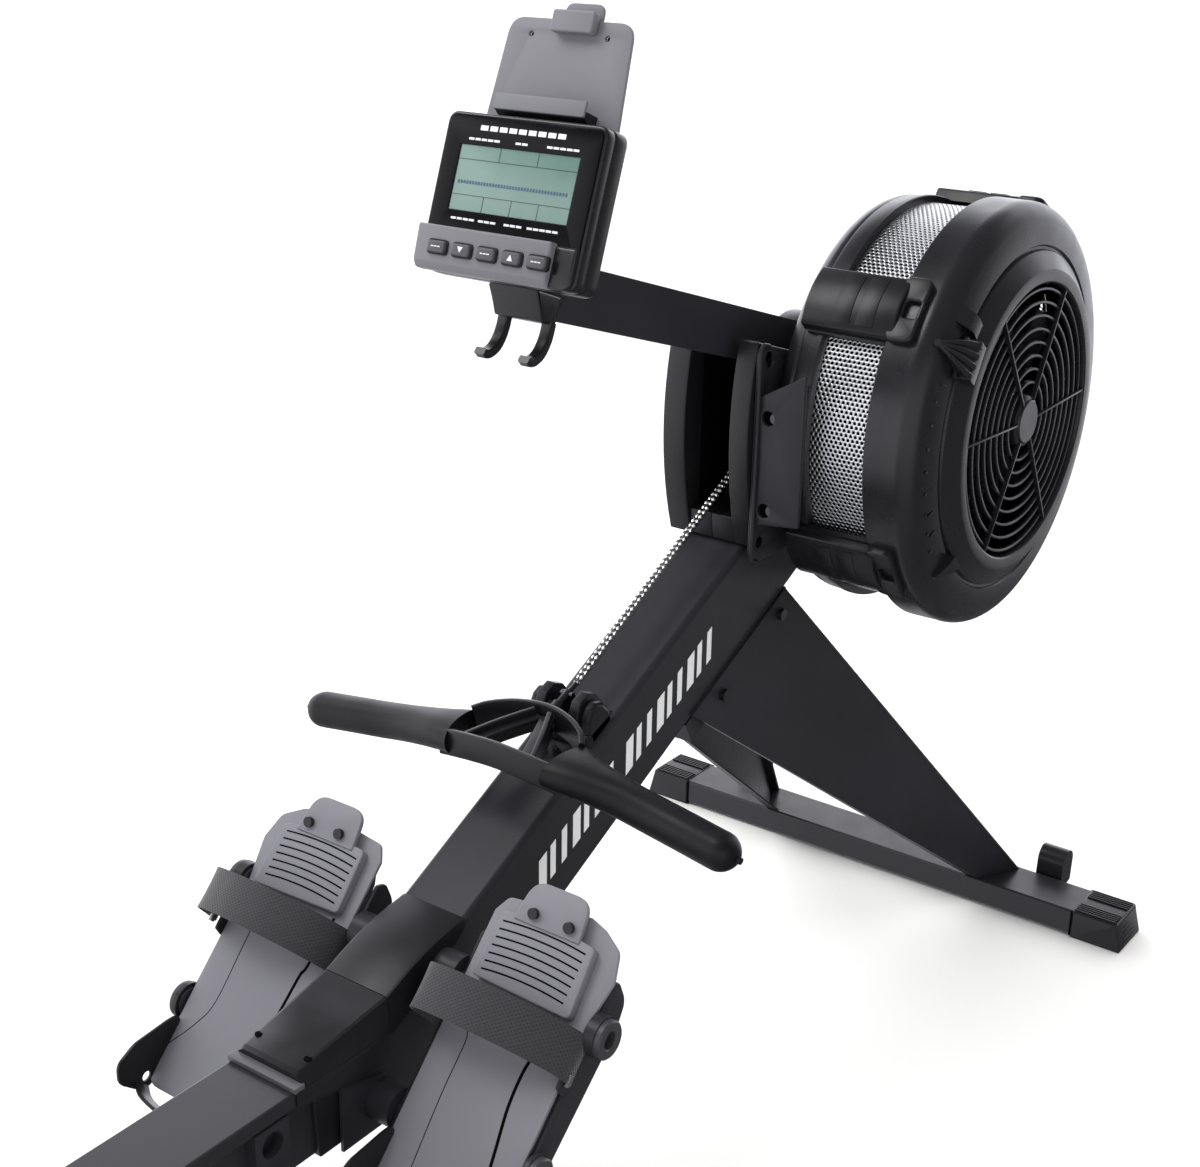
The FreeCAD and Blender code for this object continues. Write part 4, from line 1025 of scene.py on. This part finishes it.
def cradle():
    """A faceted rest on the beam: two octagonal lobes round a ringed hollow, with two bolts."""
    parts = [
        plate(rounded([(-200, 0), (-152, 0), (-156, 10), (-196, 14)], 3), (-34, 34), matrix=BEAM, edge=2)]
    for side in (-1, 1):
        lobe = [(-198, 4), (-160, 3), (-154, 15), (-157, 29), (-166, 39), (-180, 40), (-191, 31), (-198, 17)]
        parts.append(plate(rounded(lobe, 1.5), sorted((side * 14, side * 24)), matrix=BEAM, edge=1.2))
        inner = [
            (-194, 1), (-158, 1), (-157, 14), (-162, 27), (-170, 34), (-179, 34), (-188, 28), (-194, 15)]
        parts.append(plate(rounded(inner, 1.5), sorted((side * 23, side * 34)), matrix=BEAM, edge=4.5))
    hollow = []
    for depth, reach in ((-186, 16.5), (-182, 13.5)):
        ring = []
        for step in range(25):
            angle = math.radians(150 + 240 * step / 24)
            ring.append((depth, reach * math.cos(angle), 24 + reach * math.sin(angle)))
        hollow.append(sweep(ring, oval(4, 5, 3, 12), BEAM, Vector((1, 0, 0))))
    piece("cradle_saddle", joined(parts + hollow), BLACK, nodes=["handle_cradle"], smooth=28)
    bolts = []
    for y in (-9, 9):
        bolts.append(rod((-214, y, 0.2), (-214, y, 6.5), 4.6, BEAM, 6))
        bolts.append(rod((-214, y, 6), (-214, y, 12), 2.6, BEAM))
    # Painted shade: a dark cylinder filling the ringed hollow.
    cup = rod((-190, 0, 22), (-168, 0, 22), 11.5, BEAM, 40)
    piece("cradle_bolts", joined(bolts), BLACK, "frame")
    piece("cradle_hollow_shade", cup, PAINTED_SHADE)


def chain_plate(start, y, matrix):
    """One figure-of-eight side plate, between two pins a pitch apart."""
    outline = arc((start, 0), 2.9, 70, 290, 5) + [(start + CHAIN_PITCH / 2, -2.0)]
    outline += arc((start + CHAIN_PITCH, 0), 2.9, -110, 110, 5) + [(start + CHAIN_PITCH / 2, 2.0)]
    return prism(outline, (y - 0.45, y + 0.45), matrix)


def chain_link(start, inner, matrix):
    """A pair of plates with the roller and pin at the start."""
    half = 1.7 if inner else 2.7
    parts = [chain_plate(start, -half, matrix), chain_plate(start, half, matrix)]
    parts.append(prism(circle((start, 0), 1.75, 10), (-1.3, 1.3), matrix))
    parts.append(prism(circle((start, 0), 1.2, 8), (-3.7, 3.7), matrix))
    return parts


def chain():
    """The pulled run, in groups of four links, each group its own object, and the links that stay still."""
    slope = math.radians(CHAIN_SLOPE)
    radius = SPROCKET_RADIUS
    tangent = FAN_FRAME @ Vector((-radius * math.sin(slope), 0, radius * math.cos(slope)))
    run = local_frame(CHAIN_SLOPE, tangent)
    start = -CHAIN_LINKS * CHAIN_PITCH - 12
    for index in range(0, CHAIN_LINKS, 4):
        parts = []
        for step in range(4):
            parts += chain_link(start + (index + step) * CHAIN_PITCH, step % 2 == 0, run)
        link = piece(
            "chain_links_%02d" % (index // 4), joined(parts), NICKEL, None,
            ["chain"] if index == 0 else ())
        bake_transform(link)
    wrap = []
    steps = round(math.pi * radius / CHAIN_PITCH)
    for index in range(steps):
        turn = CHAIN_SLOPE - math.degrees(index * CHAIN_PITCH / radius)
        spot = local_frame(turn, FAN) @ Matrix.Translation((0, 0, radius))
        wrap += chain_link(0, index % 2 == 0, spot)
    low = local_frame(BEAM_SLOPE, FAN) @ Matrix.Translation((0, 0, -radius))
    for index in range(20):
        wrap += chain_link(-(index + 1) * CHAIN_PITCH, index % 2 == 0, low)
    piece("chain_wrap", joined(wrap), NICKEL, "frame")


# --- Monitor --------------------------------------------------------------------------------
def front_outline(low, high, radius):
    return rounded(rectangle(low, high), radius, 7)


def monitor():
    """The case with its glossy front, display, key panel, bracket and tablet holder."""
    window = rounded(rectangle((-59.2, -25.6), (59.2, 26.6)), 0.6)
    back = plate(front_outline((-79.5, -76), (79.5, 53), 10), (11, 30), "yz", SCREEN, edge=3.5)
    body = plate(
        front_outline((-79.2, -75.7), (79.2, 52.7), 10), (0.8, 12.5), "yz", SCREEN, holes=[window],
        edge=2.2)
    corner = plate(
        rounded(rectangle((-76.5, -75.5), (-50, -42)), [8, 1, 1, 1]), (-3.2, 12), "yz", SCREEN, edge=2.6)
    piece("monitor_shell", joined([back, body, corner]), CASE, "monitor", ["monitor_case"])
    # Painted shade: a dark plate inside the case, showing as a dark line in the groove between its front and
    # back.
    seam_shade = plate(front_outline((-78.2, -74.7), (78.2, 51.7), 9.4), (8, 14), "yz", SCREEN, edge=1)
    piece("monitor_seam_shade", seam_shade, PAINTED_SHADE, "monitor")
    chin = [(-10.5, -40.4), (-9, -70), (-5, -75.8), (4, -76), (4, -40.4)]
    panel = plate(rounded(chin, [2.2, 6, 5, 1, 1]), (-56, 78), "xz", SCREEN, edge=2.2)
    piece("monitor_chin", panel, CHIN, "monitor")
    bezel = plate(
        front_outline((-76.4, -62), (76.4, 50.4), 8), (-0.9, 1.6), "yz", SCREEN, holes=[window], edge=0.5)
    piece("monitor_bezel", bezel, BEZEL, "monitor")
    panel = plate(rectangle((-59, -25.5), (59, 26.5)), (0.0, 2.4), "yz", SCREEN, edge=0.1)
    piece("monitor_display", panel, LCD, "monitor", ["monitor_screen"])
    piece("display_lines", joined(display_lines()), LINE, "monitor")
    dots = [
        face_bar((-53 + 2.9 * step - 0.75, -4.2), (-53 + 2.9 * step + 0.75, -1.6),
        (-0.3, 0.1)) for step in range(38)]
    piece("display_dots", joined(dots), DOTS, "monitor")
    piece("bezel_marks", joined(bezel_marks()), INK, "monitor")
    buttons()
    monitor_bracket()
    tablet_holder()


def face_bar(low, high, depth, matrix=SCREEN):
    """A hair-thin printed bar on the monitor's face, between two (across, up) corners."""
    return plate(rectangle(low, high), depth, "yz", matrix, edge=0.02)


def display_lines():
    """The rules that divide the display into fields."""
    depth = (-0.25, 0.1)
    lines = [face_bar((-59, 15.0), (59, 15.4), depth), face_bar((-59, -13.3), (59, -12.9), depth)]
    for y in (-19.5, 18.5):
        lines.append(face_bar((y - 0.2, 15.2), (y + 0.2, 26.5), depth))
    for y in (-29, -2, 26):
        lines.append(face_bar((y - 0.2, -25.5), (y + 0.2, -13), depth))
    return lines


def dashes(groups, pitch, span, depth):
    """Rows of dashes with gaps of a millimetre, from (start, count) groups, at a height on the face."""
    marks = []
    for start, count in groups:
        for step in range(count):
            y = start - step * pitch
            marks.append(face_bar((y - pitch + 1, span[0]), (y, span[1]), depth))
    return marks


def bezel_marks():
    """Plain dashes where a monitor has its headings."""
    depth = (-1.1, -0.8)
    marks = dashes(((52, 5), (5, 2), (-26, 5)), 6.4, (30.4, 32.2), depth)
    marks += dashes(((54, 4), (26, 3), (0, 3), (-23, 5)), 6.2, (-33.2, -31.4), depth)
    for step in range(9):
        marks.append(face_bar((-42 + step * 9.6, 38.6), (-34.4 + step * 9.6, 42.6), depth))
    return marks


def buttons():
    """Five keys: dashes on three of them, and plain arrows on the other two."""
    for index in range(5):
        y = (index - 2) * 25.2 + 2.7
        body = "button_%d" % (index + 1)
        outline = rounded(rectangle((y - 8.8, -62.8), (y + 8.8, -53.2)), 3)
        key = plate(outline, (-13.6, -6), "yz", SCREEN, edge=1.4)
        piece("key_%d" % (index + 1), key, BUTTON, body, ["monitor_button_%d" % (index + 1)])
        if index in (1, 3):
            point = -2.4 if index == 3 else 2.4
            mark = plate(
                [(y - 2.8, -58 - point), (y + 2.8, -58 - point), (y, -58 + point)], (-13.75, -13.2), "yz",
                SCREEN, edge=0.02)
        else:
            mark = joined(
                [face_bar((y + low, -58.5), (y + low + 2.6, -57.6), (-13.75, -13.2)) for low in (-4.6, -1.3,
                2.0)])
        piece("key_mark_%d" % (index + 1), mark, INK, body)
        collar = plate(
            rounded(rectangle((y - 10.4, -64.2), (y + 10.4, -51.8)), 3.6), (-10.9, -8), "yz", SCREEN,
            holes=[rounded(rectangle((y - 9.2, -63.2), (y + 9.2, -52.8)), 3)], edge=0.3)
        piece("key_collar_%d" % (index + 1), collar, BLACK, "monitor")


def monitor_bracket():
    """The slanted block under the monitor, the fork on the arm and two curved hooks."""
    side_view = rounded([(27, -75.6), (60, -75.6), (60, -99), (42, -99)], [0.5, 1, 2, 3])
    parts = [plate(side_view, (-25, 25), matrix=SCREEN, edge=1.6)]
    for side in (-1, 1):
        fork = rounded(
            [(46, -97), (66, -97), (80, -72), (66, -50), (31, -50), (34, -76)], [2, 14, 14, 14, 2, 2])
        parts.append(plate(fork, sorted((side * 10.8, side * 16)), matrix=SCREEN, edge=1.5))
        y = side * 22.5
        path = smooth_path(
            [(54, y, -97), (54, y, -106), (52.5, y, -115), (48.5, y, -124), (42, y, -130), (36, y, -132),
            (31, y, -130.5)], 5)
        scales = [(1.0, 1.0 if index < len(path) - 4 else 0.8) for index in range(len(path))]
        section = rounded(rectangle((-5.2, -3.8), (5.2, 3.8)), 1.6, 3)
        parts.append(sweep(path, section, SCREEN, Vector((-0.6, 0, 0.8)), scales=scales))
    parts.append(plate(circle((58, -70.4), 6, 40), (-16.5, 16.5), matrix=SCREEN, edge=0.6))
    piece("monitor_yoke", joined(parts), CASE, "monitor", ["monitor_bracket"], smooth=40)


def tablet_holder():
    """The tapering tablet plate, its ledge, and the jaw that rides over the top edge."""
    outline = rounded(
        [(-67, -30), (67, -30), (67, 40), (60.5, 138), (-60.5, 138), (-67, 40)], [4, 4, 60, 15, 15, 60], 7)
    holes = [circle((-37.5, 125), 2.2), circle((37.5, 125), 2.2)]
    parts = [plate(outline, (30.2, 33.6), "yz", SCREEN, holes=holes, edge=0.9)]
    lip = rounded([(10.6, 59), (13.4, 59), (14.0, 72), (11.4, 72)], 1.0)
    parts.append(plate(lip, (-45, 45), matrix=SCREEN, edge=1.0))
    piece("tablet_rest", joined(parts), PLATE_GREY, "monitor", ["tablet_plate"])
    # The wedge under the lip is black plastic, and its black also stands for the shade under the ledge:
    # partly painted shade. The black discs behind the two holes are painted shade in the holes.
    wedge = rounded([(13, 58.8), (30.6, 49), (30.6, 64), (13, 64.4)], 0.6)
    ends = [circle((y, 125), 2.4) for y in (-37.5, 37.5)]
    tablet_hole_shades = [plate(hole, (33.4, 33.8), "yz", SCREEN, edge=0.1) for hole in ends]
    piece(
        "tablet_ledge", joined([plate(wedge, (-44.4, 44.4), matrix=SCREEN, edge=0.5)] + tablet_hole_shades), BLACK,
        "monitor")
    jaw = plate(rounded(rectangle((-27.5, 126), (13.5, 143.5)), 2.6), (21, 29.8), "yz", SCREEN, edge=1.6)
    tongue = rounded([(-26, 70), (12, 70), (12, 152.5), (-26, 152.5)], [3, 3, 8, 8])
    parts = [
        jaw, plate(tongue, (34.4, 38), "yz", SCREEN, edge=1.2), block((25, -22, 138.6), (38, 8, 143.5),
        SCREEN, 1.5, 1.0)]
    piece("tablet_jaw", joined(parts), PLATE_GREY, "tablet_clamp", ["tablet_clamp"])


# --- Seat -----------------------------------------------------------------------------------
def seat():
    """A crowned pad, dished for the thighs, with a groove towards the front."""
    low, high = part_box("seat_pad")
    low, high = Vector(low) / MM, Vector(high) / MM
    middle = (low + high) / 2
    points, faces = [], []
    rows, columns = 22, 28
    for row in range(rows + 1):
        v = row / rows * 2 - 1
        for column in range(columns + 1):
            u = column / columns * 2 - 1
            shrink = 1 - 0.10 * (abs(u) ** 6) * (abs(v) ** 2)
            x = middle.x + (high.x - low.x) / 2 * v * (1 - 0.16 * abs(u) ** 4)
            y = (high.y - low.y) / 2 * u * (1 - 0.10 * abs(v) ** 4) * shrink
            edge = max(abs(u), abs(v))
            rise = 1 - max(0.0, (edge - 0.78) / 0.22) ** 2
            dish = 10 * math.exp(-((abs(u) - 0.42) ** 2) / 0.06) * math.exp(-(v + 0.05) ** 2 / 0.35)
            back = 9 * max(0.0, -v) ** 1.6
            groove = 5 * math.exp(-(u / 0.09) ** 2) * max(0.0, v + 0.35)
            points.append((x, y, low.z + 8 + 33 * rise + back - dish - groove))
    lift = len(points)
    points += [(x, y, low.z) for x, y, _ in points]
    wide = columns + 1
    for layer in (0, lift):
        for row in range(rows):
            for column in range(columns):
                a = layer + row * wide + column
                faces.append((a, a + 1, a + wide + 1, a + wide))
    border = [
        list(range(wide)), [rows * wide + column for column in range(wide)],
        [row * wide for row in range(rows + 1)], [row * wide + columns for row in range(rows + 1)]]
    for line in border:
        for a, b in zip(line, line[1:]):
            faces.append((a, b, b + lift, a + lift))
    pad = piece(
        "seat_cushion", from_faces(points, faces), SEAT, "seat", ["seat_pad"], smooth=60)
    softened = pad.modifiers.new("subdivision", "SUBSURF")
    softened.levels = 1
    softened.render_levels = 1


# --- Camera, floor and light ----------------------------------------------------------------
def camera():
    """The eye on the rower's right, looking forward and down at the fan."""
    ahead = Vector((math.cos(YAW) * math.cos(PITCH), math.sin(YAW) * math.cos(PITCH), math.sin(PITCH)))
    right = Vector((math.sin(YAW), -math.cos(YAW), 0))
    above = right.cross(ahead)
    level = right * math.cos(ROLL) + above * math.sin(ROLL)
    above = above * math.cos(ROLL) - right * math.sin(ROLL)
    data = bpy.data.cameras.new("camera")
    data.lens = LENS
    data.sensor_width = 36
    data.shift_x, data.shift_y = SHIFT
    data.clip_end = 60
    eye = placed("camera", data)
    turn = Matrix((level, above, -ahead)).transposed().to_4x4()
    eye.matrix_world = Matrix.Translation(EYE) @ turn
    bpy.context.scene.camera = eye


def floor():
    """A wide off-white floor, which stays out of the export."""
    mesh = from_faces(
        [(-20, -20, 0), (20, -20, 0), (20, 20, 0), (-20, 20, 0)], [(0, 1, 2, 3)], Matrix.Identity(4))
    ground = placed("floor", mesh)
    nodes = Nodes("floor_white")
    nodes.link(nodes.ramp(nodes.noise(3.0), (0.90, 0.895, 0.865), (0.92, 0.915, 0.885)), "Base Color")
    nodes.set(Roughness=0.9, Specular_IOR_Level=0.1)
    mesh.materials.append(nodes.material)
    ground.visible_glossy = False


def area_light(name, place, aim, size, power):
    data = bpy.data.lights.new(name, "AREA")
    data.shape = "RECTANGLE"
    data.size, data.size_y = size
    data.energy = power
    lamp = placed(name, data)
    lamp.location = place
    lamp.rotation_euler = (Vector(aim) - Vector(place)).to_track_quat("-Z", "Y").to_euler()


def studio_world():
    """A studio seen in reflections: bright ahead, on the left and behind, dim on the right and overhead.
    The camera itself sees it white."""
    world = bpy.data.worlds.new("studio")
    world.use_nodes = True
    tree = world.node_tree
    direction = tree.nodes.new("ShaderNodeTexCoord").outputs["Generated"]
    split = tree.nodes.new("ShaderNodeSeparateXYZ")
    tree.links.new(direction, split.inputs[0])

    def step(value, start, end, low, high):
        node = tree.nodes.new("ShaderNodeMapRange")
        node.interpolation_type = "SMOOTHSTEP"
        for name, number in (("From Min", start), ("From Max", end), ("To Min", low), ("To Max", high)):
            node.inputs[name].default_value = number
        tree.links.new(value, node.inputs["Value"])
        return node.outputs["Result"]

    def maths(operation, first, second):
        node = tree.nodes.new("ShaderNodeMath")
        node.operation = operation
        for socket, value in zip(node.inputs, (first, second)):
            if isinstance(value, float):
                socket.default_value = value
            else:
                tree.links.new(value, socket)
        return node.outputs["Value"]

    ahead = maths("ADD", split.outputs["X"], split.outputs["Y"])
    wall = maths(
        "MULTIPLY", step(ahead, 0.10, 0.85, 0.0, WALL_GLOW), step(split.outputs["Z"], 0.56, 0.68, 1.0, 0.0))
    wall = maths("MULTIPLY", wall, step(split.outputs["Z"], -0.45, -0.20, 0.0, 1.0))
    side = maths(
        "MULTIPLY", step(split.outputs["Y"], 0.15, 0.5, 0.0, SIDE_GLOW), step(split.outputs["Z"], 0.40,
        0.60, 1.0, 0.0))
    behind = maths(
        "MULTIPLY", step(split.outputs["X"], -0.6, -0.2, BACK_GLOW, 0.0), step(split.outputs["Z"], 0.35,
        0.5, 1.0, 0.0))
    behind = maths("MULTIPLY", behind, step(split.outputs["Z"], -0.6, -0.1, 0.25, 1.0))
    total = maths("ADD", maths("ADD", maths("ADD", wall, side), behind), ROOM_GLOW)
    background = tree.nodes["Background"]
    background.inputs["Color"].default_value = (0.955, 0.96, 1.03, 1)
    seen = tree.nodes.new("ShaderNodeLightPath").outputs["Is Camera Ray"]
    tree.links.new(maths("MAXIMUM", total, seen), background.inputs["Strength"])
    bpy.context.scene.world = world


def lights():
    """The studio, a softbox on the rower's left, and two broad suns that leave no glints."""
    studio_world()
    area_light("softbox", (-0.35, 1.2, 2.7), (0.7, 0, 0.6), (1.2, 1.2), 24)
    for name, energy, angle, turn in SUNS:
        data = bpy.data.lights.new(name, "SUN")
        data.energy = energy
        data.angle = math.radians(angle)
        lamp = placed(name, data)
        lamp.rotation_euler = (math.radians(turn[0]), math.radians(turn[1]), 0)
        lamp.visible_glossy = False
    bpy.context.scene.view_settings.view_transform = "Standard"


# --- Build ----------------------------------------------------------------------------------
camera()
floor()
lights()
painted_nodes()
fan_shells()
perforated_band()
shell_clips()
damper_lever()
chain_housing()
fan_bracket()
arm_boss()
beam_graphic()
covers()
bar_caps()
foot_rests()
handle()
cradle()
chain()
monitor()
seat()
